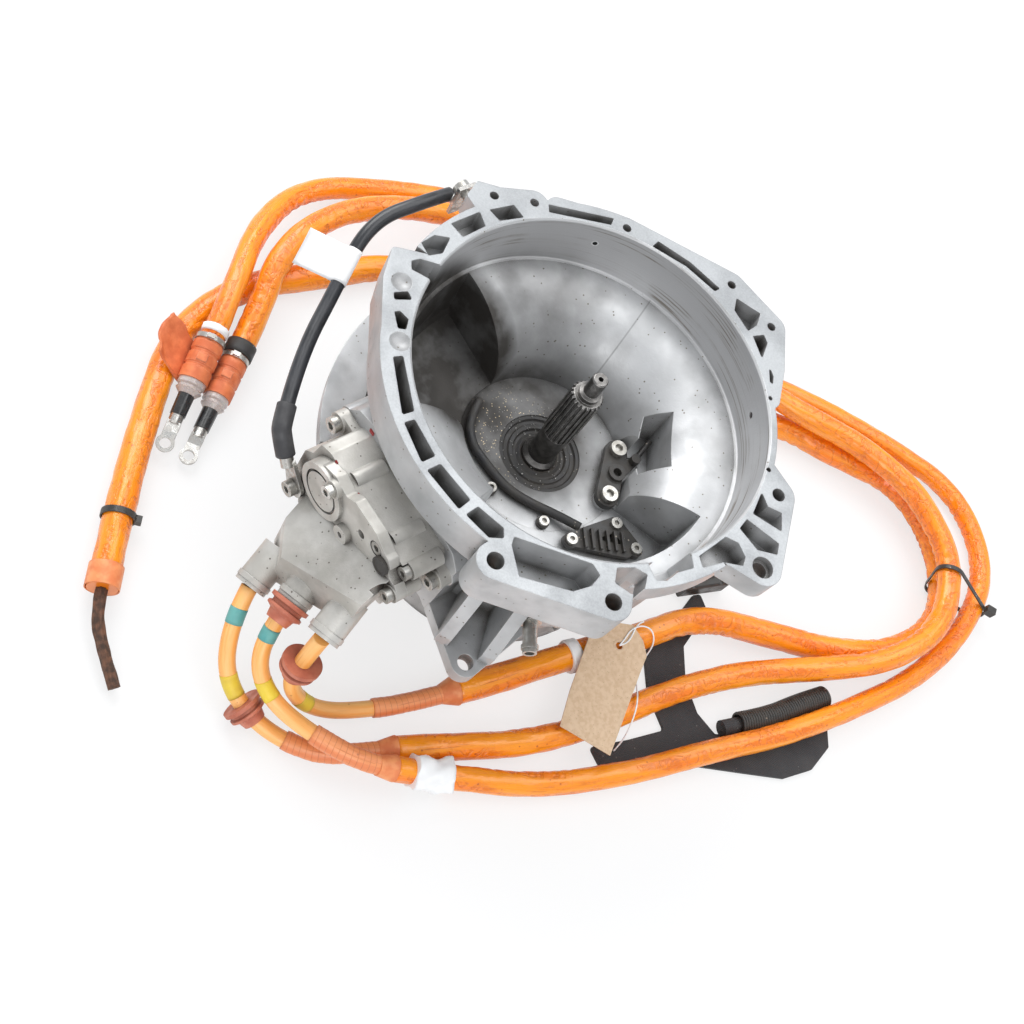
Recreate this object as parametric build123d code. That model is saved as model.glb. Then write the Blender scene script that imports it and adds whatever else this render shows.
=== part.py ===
from build123d import *
import os
from math import cos, pi, radians, sin, tan

os.makedirs("parts", exist_ok=True)

# The motor stands on its rear cover. Z runs up the shaft, the floor is z = 0
# and the side of the terminal box is -Y. All sizes are in millimetres.

# Heights along the shaft
COVER_T = 12            # rear cover plate
CASE_Z0 = COVER_T       # motor case sits on the rear cover
PLATE_Z0 = 94           # underside of the bell's joint plate
PLATE_T = 12
PLATE_Z1 = PLATE_Z0 + PLATE_T
HUB_Z = 114             # floor of the bell round the shaft
RIDGE_Z = 179           # foot of the machined bore
RIM_Z0 = 205            # underside of the flange
SKIRT_Z0 = 191          # underside of the deeper skirt beside the terminal box
FACE_Z = 225            # machined flange face
SHAFT_END_Z = 228

# Bell housing
BORE_R = 135
RIDGE_R = 131.5
HUB_R = 66
RIM_R = 141
WALL_R = 140            # outside of the bore wall under the flange
PLATE_R = 132
PLATE_EAR_R = 169
BOWL_WALL = 7
POCKET_FLOOR = 4
BOLT_HOLE_R = 6
THREAD_HOLE_R = 3.5
PIN_HOLE_R = 1.8

# Motor
CASE_R = 113
CASE_BORE_R = 104
CASE_FLANGE_R = 128
STACK_Z0 = 36
STACK_Z1 = 82
STATOR_ID_R = 72
ROTOR_R = 71.3
SLOT_COUNT = 24
MAGNET_COUNT = 16
CORE_BORE_R = 20
MAGNET_W = 20
MAGNET_T = 4.5
MAGNET_R = 64
PART_FIT = 0.1          # slack between parts that are slipped together

# Shaft
SPLINE_TIP_R = 12.5
SPLINE_ROOT_R = 10.8
SPLINE_TEETH = 20
SPLINE_Z0 = 150
SPLINE_Z1 = 206
NECK_R = 11
NOSE_R = 6
SEAL_SEAT_R = 14
FRONT_SEAT_R = 15
REAR_SEAT_R = 10
RUN_GAP = 0.3           # slack between turning and standing parts

# Ball bearings: pitch radius, ball radius, inner and outer radii, heights, balls
FRONT_BEARING = dict(pitch=22.8, ball=3.6, ri=FRONT_SEAT_R, ro=31, z0=94, z1=106, balls=10)
REAR_BEARING = dict(pitch=16.2, ball=2.8, ri=REAR_SEAT_R, ro=22, z0=9, z1=18, balls=9)
BALL_GAP = 0.35
SEAL_R = 33

# Terminal box
PAD_Y = -143            # face on the bell that carries the box
BOX_Y = -176            # joint between box and cover
LID_Y = -184            # outer face of the cover
BOX_WALL = 5
NECK_OD_R = 12.5
NECK_DIR = (0.34, -0.85, -0.41)
NECK_ENDS = [(-18, -236, 67), (10, -223, 87), (45, -223, 101)]
ROOF_Z = 138            # height of the outlet roof at x = 0 on the cover face
ROOF_SLOPE_X = 0.45
ROOF_SLOPE_Y = 0.65
ROOF_T = 40

# Cables
CORE_D = 12.4
SLEEVE_D = (22, 20, 24)
GROUND_D = 10.5
TORN_D = 10
LOOM_D = 7
HARNESS_T = 3.5         # taped flat bundle on the floor
CONDUIT_R = 7


def polar(r, deg):
    return r * cos(radians(deg)), r * sin(radians(deg))


def disc(r, z0, z1, x=0, y=0):
    base = Cylinder(r, z1 - z0, align=(Align.CENTER, Align.CENTER, Align.MIN))
    return Pos(x, y, z0) * base


def tube(ro, ri, z0, z1, x=0, y=0):
    return disc(ro, z0, z1, x, y) - disc(ri, z0 - 1, z1 + 1, x, y)


def block(x0, x1, y0, y1, z0, z1):
    size = Box(x1 - x0, y1 - y0, z1 - z0)
    return Pos((x0 + x1) / 2, (y0 + y1) / 2, (z0 + z1) / 2) * size


def slab(points, z0, z1, corner=0):
    face = make_face(Polyline(*[(x, y) for x, y in points], close=True))
    if corner:
        face = fillet(face.vertices(), corner)
    return Pos(0, 0, z0) * extrude(face, z1 - z0)


def wall_slab(points, y0, y1, corner=0):
    """Extrude an outline drawn in x and z between two planes of constant y."""
    face = make_face(Polyline(*points, close=True))
    if corner:
        face = fillet(face.vertices(), corner)
    depth = y1 - y0
    return Plane((0, y1, 0), x_dir=(1, 0, 0), z_dir=(0, -1, 0)) * extrude(face, depth)


def wall_lobe(circles, y0, y1):
    """Hull of circles drawn in x and z, between two planes of constant y."""
    return Plane((0, y1, 0), x_dir=(1, 0, 0), z_dir=(0, -1, 0)) * extrude(lobe(*circles), y1 - y0)


def turned(points, arc=2 * 180):
    face = make_face(Polyline(*[(r, 0, z) for r, z in points], close=True))
    return revolve(face, Axis.Z, arc)


def sector(ro, a0, a1):
    """Pie slice of the flange outline between two angles."""
    arc = CenterArc((0, 0), ro, a0, a1 - a0)
    return make_face([arc, Line(arc @ 1, (0, 0)), Line((0, 0), arc @ 0)])


def lobe(*circles):
    """Hull round a few circles given as x, y, radius."""
    edges = []
    for x, y, r in circles:
        edges += (Pos(x, y) * Circle(r)).edges()
    return make_hull(edges)


def rod(start, end, r):
    """Round bar between two points."""
    a = Vector(*start)
    b = Vector(*end)
    axis = b - a
    base = Cylinder(r, axis.length, align=(Align.CENTER, Align.CENTER, Align.MIN))
    return Plane(a, z_dir=axis) * base


def along(start, direction, distance):
    d = Vector(*direction).normalized()
    return tuple(Vector(*start) + d * distance)


# Flange outline, pockets and holes

BOLT_HOLES = [(168, 25), (136, -91), (76, -147)]
DOWEL_HOLE = (131, 74)
THREAD_HOLES = [(-159, 17), (-143, 44), (-98, 103), (-24, 156), (19, 164)]
PIN_HOLES = [(67, 121), (112, 80)]
DISHES = [(-122, -90), (-83, -117)]

LEFT_POCKETS = [
    [(-75, -128), (-73, -121), (-35, -137), (-36, -146)],
    [(-31, -148), (-30, -140), (-2, -142), (-2, -153)],
    [(4, -153), (4, -142), (34, -138), (36, -149)],
    [(41, -147), (40, -136), (60, -129), (66, -133), (61, -142)],
    [(72, -131), (68, -126), (108, -88), (117, -88), (120, -98), (117, -112), (92, -139)],
    [(118, -74), (124, -62), (132, -57), (139, -65), (138, -76), (126, -82)],
    [(-117, -100), (-114, -90), (-107, -91), (-112, -103)],
    [(-104, -108), (-103, -104), (-95, -102), (-89, -108), (-92, -113)],
]
TOP_POCKETS = [
    [(-150, -29), (-151, -2), (-139, -5), (-137, -27)],
    [(-150, 6), (-147, 27), (-135, 28), (-139, 8)],
    [(-144, -59), (-146, -46), (-140, -36), (-131, -49), (-133, -60)],
    [(-138, 54), (-109, 98), (-105, 92), (-132, 50)],
    [(-79, 121), (-77, 113), (-52, 129), (-25, 138), (-25, 144), (-54, 135)],
    [(-13, 152), (6, 163), (13, 153), (14, 142), (-5, 143)],
    [(19, 143), (22, 153), (29, 151), (38, 137)],
    [(43, 140), (54, 136), (59, 131), (56, 130)],
]
RIGHT_POCKETS = [
    [(123, 63), (134, 60), (143, 67), (154, 57), (133, 45)],
    [(134, 38), (160, 49), (166, 42), (156, 30), (137, 28)],
    [(137, 14), (145, 20), (156, 18), (160, 12), (151, 0), (147, -17), (139, -14)],
]
EDGE_CUTS = [
    [(126, -52), (130, -16), (144, -23), (141, -36), (142, -47), (138, -54)],
    [(-118, -49), (-133, -67), (-134, -74), (-128, -78), (-121, -73), (-110, -66)],
]


def flange_outline():
    face = Circle(RIM_R)
    for a0, a1, r in [(-128, -62, 157), (180, 204, 156), (135, 181, 152), (-26, 0, 154)]:
        face += sector(r, a0, a1)
    face += lobe((-98, 103, 10), (-132, 60, 10), (-110, 70, 10))
    face += lobe((-98, 103, 10), (-24, 156, 12), (-60, 100, 20))
    face += lobe((-24, 156, 12), (19, 164, 12), (0, 130, 20))
    face += lobe((19, 164, 12), (48, 143, 8), (67, 121, 8), (30, 120, 20))
    face += lobe((131, 74, 13), (112, 80, 7), (168, 26, 14), (120, 40, 20), (140, 10, 14))
    face += lobe((136, -91, 13), (76, -147, 13), (90, -70, 30))
    face += lobe((-83, -117, 13), (-122, -90, 13), (-145, -80, 3), (-110, -60, 20))
    face += lobe((-143, 44, 11), (-159, 17, 8), (-120, 20, 20))
    face += lobe((-172, 12, 2), (-155, 34, 2), (-150, 0, 3), (-165, 0, 3))
    return face


def skirt_outline():
    face = sector(157, -128, -62) + sector(156, 180, 204)
    face += lobe((136, -91, 13), (76, -147, 13), (90, -70, 30))
    face += lobe((-83, -117, 13), (-122, -90, 13), (-145, -80, 3), (-110, -60, 20))
    return face


def bowl_profile(wall):
    """Trumpet-shaped line from the hub to the ridge, moved out by the wall."""
    low = (HUB_R + wall, HUB_Z + 2 - wall)
    mid = (84 + wall * 0.7, 160 - wall * 0.7)
    top = (RIDGE_R + wall, RIDGE_Z - wall)
    return low, mid, top


def cavity():
    """Air inside the bell: machined bore, ridge and cast trumpet."""
    low, mid, top = bowl_profile(0)
    bend = ThreePointArc((low[0], 0, low[1]), (mid[0], 0, mid[1]), (top[0], 0, top[1]))
    line = Polyline((RIDGE_R, 0, RIDGE_Z), (BORE_R - 1, 0, RIDGE_Z + 1), (BORE_R, 0, FACE_Z - 1.5),
                    (BORE_R + 1.5, 0, FACE_Z), (BORE_R + 1.5, 0, FACE_Z + 5), (0, 0, FACE_Z + 5),
                    (0, 0, HUB_Z), (HUB_R, 0, HUB_Z), (low[0], 0, low[1]))
    return revolve(make_face([bend, line]), Axis.Z)


def bowl_shell():
    low, mid, top = bowl_profile(BOWL_WALL)
    bend = ThreePointArc((low[0], 0, low[1]), (mid[0], 0, mid[1]), (top[0], 0, top[1]))
    line = Polyline((RIDGE_R + BOWL_WALL, 0, RIDGE_Z - BOWL_WALL), (WALL_R, 0, RIDGE_Z - BOWL_WALL + 4),
                    (WALL_R, 0, RIM_Z0 + 1), (0, 0, RIM_Z0 + 1), (0, 0, PLATE_Z0 + 1),
                    (low[0], 0, PLATE_Z0 + 1), (low[0], 0, low[1]))
    return revolve(make_face([bend, line]), Axis.Z)


# Lower-floored parts of the bowl: start angle, sweep, outer radius, floor height
RECESSES = [(180, 65, 128, 126), (-80, 104, 116, 119)]


def recess_fill(start, sweep, reach, floor):
    r = WALL_R - 3
    body = turned([(HUB_R - 6, PLATE_Z1 - 2), (r, PLATE_Z1 - 2), (r, RIDGE_Z + 2), (HUB_R - 6, RIDGE_Z + 2)], sweep)
    return Rot(0, 0, start) * body


def recess_cut(start, sweep, reach, floor):
    lip = 3
    body = turned([(HUB_R - 4, HUB_Z + 1), (reach, floor), (reach + 3, floor + 6), (reach + 3, FACE_Z),
                   (HUB_R - 4, FACE_Z)], sweep - 2 * lip)
    return Rot(0, 0, start + lip) * body


SENSOR_BOLTS = [(28, 54), (56, 23)]
SENSOR_BUSH = (44, 41)
BOSS_Z = HUB_Z + 4
MOUNT_EAR = polar(181, -53)
SIDE_EAR = polar(160, -124)
RIB_ANGLES = [-172, -152, -118, -98, -40, -18, 4, 28, 52, 76, 100, 124, 148]


def joint_plate():
    face = Circle(PLATE_R) + sector(PLATE_EAR_R, 180, 241)
    face += lobe((MOUNT_EAR[0], MOUNT_EAR[1], 11), (80, -80, 30), (40, -108, 30))
    face -= Pos(-10, PAD_Y - 40) * Rectangle(140, 80)
    plate = Pos(0, 0, PLATE_Z0) * extrude(face, PLATE_T)
    plate -= disc(BOLT_HOLE_R, PLATE_Z0 - 1, PLATE_Z1 + 1, *MOUNT_EAR)
    plate -= disc(THREAD_HOLE_R, PLATE_Z0 - 1, PLATE_Z1 + 1, *SIDE_EAR)
    return plate


def outer_ribs():
    """Upright webs between the joint plate and the underside of the flange."""
    web = 5
    rib = block(HUB_R + 4, PLATE_R - 2, -web / 2, web / 2, PLATE_Z1 - 1, RIM_Z0 + 1)
    return [Rot(0, 0, angle) * rib for angle in RIB_ANGLES]


def mount_leg():
    """Stiff leg that carries the mounting ear up to the flange corner."""
    leg = make_face(Polyline((120, 0, PLATE_Z1 - 2), (176, 0, PLATE_Z1 - 2), (176, 0, PLATE_Z1 + 10),
                             (158, 0, SKIRT_Z0 + 1), (120, 0, SKIRT_Z0 + 1), close=True))
    leg_w = 5
    body = extrude(leg, leg_w, both=True)
    return [Rot(0, 0, -60) * body, Rot(0, 0, -49) * body]


PAD = [(-80, 108), (-80, 156), (-68, 174), (-44, 182), (8, 180), (50, 174), (60, 164), (60, 97), (-70, 97)]


def bell_pad():
    """Solid seat on the bell for the terminal box, with two bolt bosses."""
    pad = wall_slab(PAD, PAD_Y, -76, 4)
    for x, z in FOOT_BOLTS:
        pad += rod((x, PAD_Y, z), (x, -120, z), 9)
    return pad


FOOT_BOLTS = [(-73, 154), (54, 149)]
BOLT_CIRCLE_R = 122
CASE_BOLTS = 8


def bell_housing():
    body = bowl_shell() + joint_plate()
    for piece in [bell_pad(), sensor_slot(8, PLATE_Z0 + 2)] + [recess_fill(*recess) for recess in RECESSES]:
        body += piece
    for piece in outer_ribs() + mount_leg():
        body += piece
    body += Pos(0, 0, SKIRT_Z0) * extrude(skirt_outline(), RIM_Z0 - SKIRT_Z0 + 1)
    body += Pos(0, 0, RIM_Z0) * extrude(flange_outline(), FACE_Z - RIM_Z0)
    for air in [cavity()] + [recess_cut(*recess) for recess in RECESSES]:
        body -= air
    return body


def sensor_slot(wall, z0):
    """Upright slot beside the sensor bracket, or the metal round it."""
    z1 = 168
    return Pos(43, 66, (z0 + z1) / 2) * Rot(0, 0, -39) * Box(46 + 2 * wall, 17 + 2 * wall, z1 - z0)


def flange_cuts():
    """Pockets, dished pads and holes of the flange."""
    skirt_floor = SKIRT_Z0 + POCKET_FLOOR
    rim_floor = RIM_Z0 + POCKET_FLOOR
    cuts = [slab(outline, skirt_floor, FACE_Z + 1, 1.5) for outline in LEFT_POCKETS]
    cuts += [slab(outline, rim_floor, FACE_Z + 1, 1) for outline in TOP_POCKETS + RIGHT_POCKETS]
    cuts += [slab(outline, SKIRT_Z0 - 1, FACE_Z + 1, 2) for outline in EDGE_CUTS]
    cuts += [disc(BOLT_HOLE_R, SKIRT_Z0 - 1, FACE_Z + 1, x, y) for x, y in BOLT_HOLES]
    cuts += [disc(THREAD_HOLE_R, RIM_Z0 - 1, FACE_Z + 1, x, y) for x, y in THREAD_HOLES]
    cuts += [disc(PIN_HOLE_R, rim_floor, FACE_Z + 1, x, y) for x, y in PIN_HOLES]
    cuts += [Pos(x, y, FACE_Z) * dish() for x, y in DISHES]
    cuts.append(disc(8, FACE_Z - 6, FACE_Z + 1, *BOLT_HOLES[0]))
    cuts.append(disc(5, rim_floor, FACE_Z + 1, *DOWEL_HOLE))
    cuts.append(rod((60, 104, 202), (84, 146, 202), 2.5))
    cuts.append(rod((-183, 12, 205), (-173, 12, 205), 4))
    return cuts


def dish():
    """Shallow round hollow, drawn with its lip at z = 0."""
    r = 7.5
    bend = ThreePointArc((0, 0, -3.6), (r * 0.6, 0, -2.4), (r, 0, 0))
    return revolve(make_face([bend, Polyline((r, 0, 0), (r, 0, 1), (0, 0, 1), (0, 0, -3.6))]), Axis.Z)


def hub_cuts():
    """Bearing seat, seal seat, sensor slot and the bolt holes of the case joint."""
    cuts = [disc(FRONT_BEARING["ro"], PLATE_Z0 - 1, FRONT_BEARING["z1"]),
            disc(SEAL_R, FRONT_BEARING["z1"], BOSS_Z + 1),
            sensor_slot(0, HUB_Z + 6)]
    for i in range(CASE_BOLTS):
        x, y = polar(BOLT_CIRCLE_R, 22.5 + i * 360 / CASE_BOLTS)
        cuts.append(disc(4, PLATE_Z0 - 1, PLATE_Z1 - 2, x, y))
    for x, z in FOOT_BOLTS:
        cuts.append(rod((x, PAD_Y - 1, z), (x, PAD_Y + 14, z), 3))
    return cuts


def finished_bell():
    body = bell_housing() - flange_cuts()
    room = lobe((28, 54, 11), (56, 23, 11)) + lobe((44, 41, 8), (42, 60, 6))
    body -= Pos(0, 0, BOSS_Z) * extrude(room, RIDGE_Z - BOSS_Z)
    body += [disc(9, PLATE_Z0 + 4, BOSS_Z, x, y) for x, y in SENSOR_BOLTS]
    return body - hub_cuts()


# Motor case and rear cover

CASE_RIBS = 20


def motor_case():
    body = tube(CASE_R, CASE_BORE_R, CASE_Z0, PLATE_Z0)
    body += tube(CASE_FLANGE_R, CASE_BORE_R, PLATE_Z0 - 10, PLATE_Z0)
    body += tube(CASE_R + 3, CASE_BORE_R, 40, 46) + tube(CASE_R + 3, CASE_BORE_R, 66, 72)
    body += tube(CASE_BORE_R + 1, 100, CASE_Z0 + 12, STACK_Z0)
    rib = block(CASE_BORE_R + 1, CASE_R + 3, -2, 2, CASE_Z0 + 6, PLATE_Z0 - 2)
    for i in range(CASE_RIBS):
        body += Rot(0, 0, 9 + i * 360 / CASE_RIBS) * rib
    for i in range(CASE_BOLTS):
        x, y = polar(BOLT_CIRCLE_R, 22.5 + i * 360 / CASE_BOLTS)
        body -= disc(4, PLATE_Z0 - 12, PLATE_Z0 + 1, x, y)
        body -= disc(7.5, PLATE_Z0 - 40, PLATE_Z0 - 10, x, y)
        x, y = polar(CASE_R - 4.5, i * 360 / CASE_BOLTS)
        body -= disc(2.5, CASE_Z0 - 1, CASE_Z0 + 14, x, y)
    return body


def rear_cover():
    body = disc(CASE_R, 0, COVER_T)
    body += tube(34, REAR_BEARING["ro"], COVER_T - 1, 31)
    body += tube(CASE_BORE_R, CASE_BORE_R - 4, COVER_T - 1, COVER_T + 8)
    body -= disc(REAR_BEARING["ro"], REAR_BEARING["z0"] - 1, COVER_T + 1)
    body -= disc(30, 22, 32)
    web = block(33, CASE_BORE_R - 3, -2.5, 2.5, COVER_T - 1, COVER_T + 8)
    for i in range(CASE_BOLTS):
        body += Rot(0, 0, 22.5 + i * 360 / CASE_BOLTS) * web
        x, y = polar(CASE_R - 4.5, i * 360 / CASE_BOLTS)
        body -= disc(4.3, -1, 6, x, y)
        body -= disc(2.5, 0, COVER_T + 1, x, y)
    return body


def case_bolts():
    """Eight bolts up through the case flange and eight more in the rear cover."""
    up = []
    down = []
    for i in range(CASE_BOLTS):
        x, y = polar(BOLT_CIRCLE_R, 22.5 + i * 360 / CASE_BOLTS)
        head = disc(6.5, PLATE_Z0 - 18, PLATE_Z0 - 10, x, y)
        socket = Pos(x, y, PLATE_Z0 - 18) * extrude(RegularPolygon(3.5, 6), 4)
        up.append(head + disc(4, PLATE_Z0 - 11, PLATE_Z1 - 2, x, y) - socket)
        x, y = polar(CASE_R - 4.5, i * 360 / CASE_BOLTS)
        head = disc(4.3, 1, 6, x, y)
        socket = Pos(x, y, 1) * extrude(RegularPolygon(2.2, 6), 3)
        down.append(head + disc(2.5, 5, CASE_Z0 + 14, x, y) - socket)
    return Compound(children=up), Compound(children=down)


# Stator and rotor

TOOTH_SLOT_W = 9
SLOT_R0 = 77
SLOT_R1 = 97


def stator_core():
    body = tube(CASE_BORE_R, STATOR_ID_R, STACK_Z0, STACK_Z1)
    slot = block(SLOT_R0, SLOT_R1, -TOOTH_SLOT_W / 2, TOOTH_SLOT_W / 2, STACK_Z0 - 1, STACK_Z1 + 1)
    mouth = block(STATOR_ID_R - 2, SLOT_R0 + 1, -1.5, 1.5, STACK_Z0 - 1, STACK_Z1 + 1)
    for i in range(SLOT_COUNT):
        body -= Rot(0, 0, i * 360 / SLOT_COUNT) * (slot + mouth)
    return body


def phase_windings():
    """Slot bars joined by the end turns above and below the stack."""
    turn_h = 9
    body = tube(SLOT_R1, SLOT_R0, STACK_Z1, STACK_Z1 + turn_h)
    body += tube(SLOT_R1, SLOT_R0, STACK_Z0 - turn_h, STACK_Z0)
    w = TOOTH_SLOT_W / 2 - PART_FIT
    bar = block(SLOT_R0 + 3 * PART_FIT, SLOT_R1 - 6 * PART_FIT, -w, w, STACK_Z0 - 1, STACK_Z1 + 1)
    notch = block(SLOT_R0 - 1, SLOT_R1 + 1, -0.8, 0.8, STACK_Z1 + turn_h - 2, STACK_Z1 + turn_h + 1)
    for i in range(SLOT_COUNT):
        turn = Rot(0, 0, i * 360 / SLOT_COUNT)
        body += turn * bar
        body -= Rot(0, 0, (i + 0.5) * 360 / SLOT_COUNT) * notch
    return body


def magnet(grow):
    size = Box(MAGNET_T + 2 * grow, MAGNET_W + 2 * grow, STACK_Z1 - STACK_Z0)
    return Pos(MAGNET_R, 0, (STACK_Z0 + STACK_Z1) / 2) * size


def rotor_core():
    body = tube(ROTOR_R, CORE_BORE_R, STACK_Z0, STACK_Z1)
    window = disc(9, STACK_Z0 - 1, STACK_Z1 + 1, 40, 0)
    for i in range(MAGNET_COUNT):
        body -= Rot(0, 0, i * 360 / MAGNET_COUNT) * magnet(PART_FIT)
    for i in range(8):
        body -= Rot(0, 0, i * 45) * window
    return body


def rotor_magnets():
    blocks = []
    for i in range(MAGNET_COUNT):
        blocks.append(Rot(0, 0, i * 360 / MAGNET_COUNT) * magnet(0))
    return Compound(children=blocks)


def rotor_end_plates():
    lower = tube(ROTOR_R - 1, CORE_BORE_R, STACK_Z0 - 4, STACK_Z0)
    upper = tube(ROTOR_R - 1, CORE_BORE_R, STACK_Z1, STACK_Z1 + 4)
    for i in range(6):
        x, y = polar(56, i * 60)
        upper -= disc(3, STACK_Z1 + 2, STACK_Z1 + 5, x, y)
        lower -= disc(3, STACK_Z0 - 5, STACK_Z0 - 2, x, y)
    return Compound(children=[lower, upper])


def spline_outline():
    points = []
    pitch = 360 / SPLINE_TEETH
    for i in range(SPLINE_TEETH):
        for part, r in ((-0.34, SPLINE_ROOT_R), (-0.2, SPLINE_TIP_R), (0.2, SPLINE_TIP_R), (0.34, SPLINE_ROOT_R)):
            points.append(polar(r, (i + part) * pitch))
    return points


def rotor_shaft():
    rear = REAR_BEARING
    front = FRONT_BEARING
    body = turned([(0, rear["z0"]), (REAR_SEAT_R - 1, rear["z0"]), (REAR_SEAT_R, rear["z0"] + 1),
                   (REAR_SEAT_R, rear["z1"]), (12, rear["z1"]), (12, STACK_Z0 - 4),
                   (CORE_BORE_R, STACK_Z0 - 4), (CORE_BORE_R, STACK_Z1 + 4), (17, STACK_Z1 + 4),
                   (17, front["z0"]), (FRONT_SEAT_R, front["z0"]), (FRONT_SEAT_R, front["z1"]),
                   (SEAL_SEAT_R, front["z1"]), (SEAL_SEAT_R, HUB_Z), (NECK_R, HUB_Z + 3),
                   (NECK_R, SPLINE_Z0), (SPLINE_ROOT_R, SPLINE_Z0), (SPLINE_ROOT_R, SPLINE_Z1),
                   (8.5, SPLINE_Z1), (8.5, SPLINE_Z1 + 4), (NOSE_R, SPLINE_Z1 + 5),
                   (NOSE_R, SHAFT_END_Z - 1), (NOSE_R - 1, SHAFT_END_Z), (0, SHAFT_END_Z)])
    teeth = slab(spline_outline(), SPLINE_Z0, SPLINE_Z1)
    ends = turned([(0, SPLINE_Z0), (SPLINE_ROOT_R, SPLINE_Z0), (SPLINE_TIP_R + 1, SPLINE_Z0 + 4),
                   (SPLINE_TIP_R + 1, SPLINE_Z1 - 2.2), (SPLINE_ROOT_R, SPLINE_Z1), (0, SPLINE_Z1)])
    body += teeth & ends
    body -= disc(2, SHAFT_END_Z - 5, SHAFT_END_Z + 1)
    return body


# Bearings, seal and resolver

def ball_groove(b):
    return Pos(0, 0, (b["z0"] + b["z1"]) / 2) * Torus(b["pitch"], b["ball"] + BALL_GAP)


def outer_race(b):
    return tube(b["ro"], b["pitch"] + b["ball"] * 0.65, b["z0"], b["z1"]) - ball_groove(b)


def inner_race(b):
    return tube(b["pitch"] - b["ball"] * 0.65, b["ri"], b["z0"], b["z1"]) - ball_groove(b)


def ball_set(b):
    balls = []
    for i in range(b["balls"]):
        x, y = polar(b["pitch"], i * 360 / b["balls"])
        balls.append(Pos(x, y, (b["z0"] + b["z1"]) / 2) * Sphere(b["ball"]))
    return Compound(children=balls)


def ball_cage(b):
    mid = (b["z0"] + b["z1"]) / 2
    half = b["ball"] + 1
    body = tube(b["pitch"] + 1, b["pitch"] - 1, mid - half, mid + half)
    for i in range(b["balls"]):
        inner = polar(b["pitch"] - 3, i * 360 / b["balls"])
        outer = polar(b["pitch"] + 3, i * 360 / b["balls"])
        body -= rod((*inner, mid), (*outer, mid), b["ball"] + BALL_GAP)
    return body


def shaft_seal():
    lip = SEAL_SEAT_R + RUN_GAP
    z = FRONT_BEARING["z1"]
    return turned([(SEAL_R, z), (SEAL_R, z + 7), (SEAL_R - 3, z + 7), (SEAL_R - 4, z + 5), (26, z + 5),
                   (25, z + 6.5), (22, z + 6.5), (21, z + 4), (19, z + 4), (lip + 2, z + 6), (lip, z + 5),
                   (lip, z + 3), (20, z + 2), (28, z + 2), (28, z)])


def resolver_rotor():
    """Lobed ring on the shaft that the position sensor reads."""
    z0 = REAR_BEARING["z1"] + 5
    body = tube(17.5, 12, z0, z0 + 7)
    for i in range(6):
        x, y = polar(21.5, i * 60)
        body -= disc(5, z0 - 1, z0 + 8, x, y)
    return body


def resolver_stator():
    z0 = REAR_BEARING["z1"] + 4
    body = tube(30, 19, z0, z0 + 9)
    tooth = block(20, 27, -2.6, 2.6, z0 - 1, z0 + 10)
    for i in range(12):
        body -= Rot(0, 0, i * 30) * tooth
    return body


# Terminal box

BOX = [(-72, 88), (-70, 138), (-63, 146), (-60, 164), (-50, 169), (44, 169), (46, 160), (44, 104)]
BOX_INSIDE = [(-64, 98), (-63, 136), (-56, 144), (-54, 158), (-48, 163), (38, 163), (40, 158), (38, 112)]
LID = [(-54, 112), (-58, 124), (-58, 144), (-53, 158), (-44, 168), (-32, 173), (-18, 170), (-10, 177),
       (16, 178), (30, 172), (34, 172), (43, 162), (54, 154), (54, 142), (40, 136), (-50, 96)]
TOP_BOSSES = [(-27, 165), (21, 164), (44, 164)]
SIDE_BOLT = (49, 149)
LID_BOLTS = [(-28, 165, -188), (21, 165, -178.5), (44, 164, -172), (*SIDE_BOLT, -185)]
COUNTERBORE_R = 6.2
CAP = (-36, 146)
LUG_SEAT = (-57, 115)
PLUG = (31.5, 160.5)
PLUG_CAP_R = 7


def terminal_box():
    body = wall_slab(BOX, BOX_Y, PAD_Y, 4)
    for x, z in TOP_BOSSES:
        body += rod((x, BOX_Y + 4, z), (x, PAD_Y - 4, z), 7)
    for x, z in FOOT_BOLTS:
        body += rod((x, PAD_Y - 9, z), (x, PAD_Y, z), 8)
        body += block(min(x, 0.8 * x), max(x, 0.8 * x), PAD_Y - 7, PAD_Y, z - 8, z + 8)
    body -= wall_slab(BOX_INSIDE, BOX_Y - 1, PAD_Y - BOX_WALL, 3)
    for x, z in FOOT_BOLTS:
        body -= [rod((x, PAD_Y - 10, z), (x, PAD_Y + 1, z), 3), rod((x, PAD_Y - 19, z), (x, PAD_Y - 9, z), 8)]
    body += rod((SIDE_BOLT[0], BOX_Y, SIDE_BOLT[1]), (SIDE_BOLT[0], BOX_Y + 12, SIDE_BOLT[1]), 7)
    for x, z, y in LID_BOLTS:
        if y > BOX_Y:
            body -= rod((x, BOX_Y - 1, z), (x, y, z), COUNTERBORE_R)
        body -= rod((x, BOX_Y - 1, z), (x, BOX_Y + 10, z), 2.5)
    return body


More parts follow.
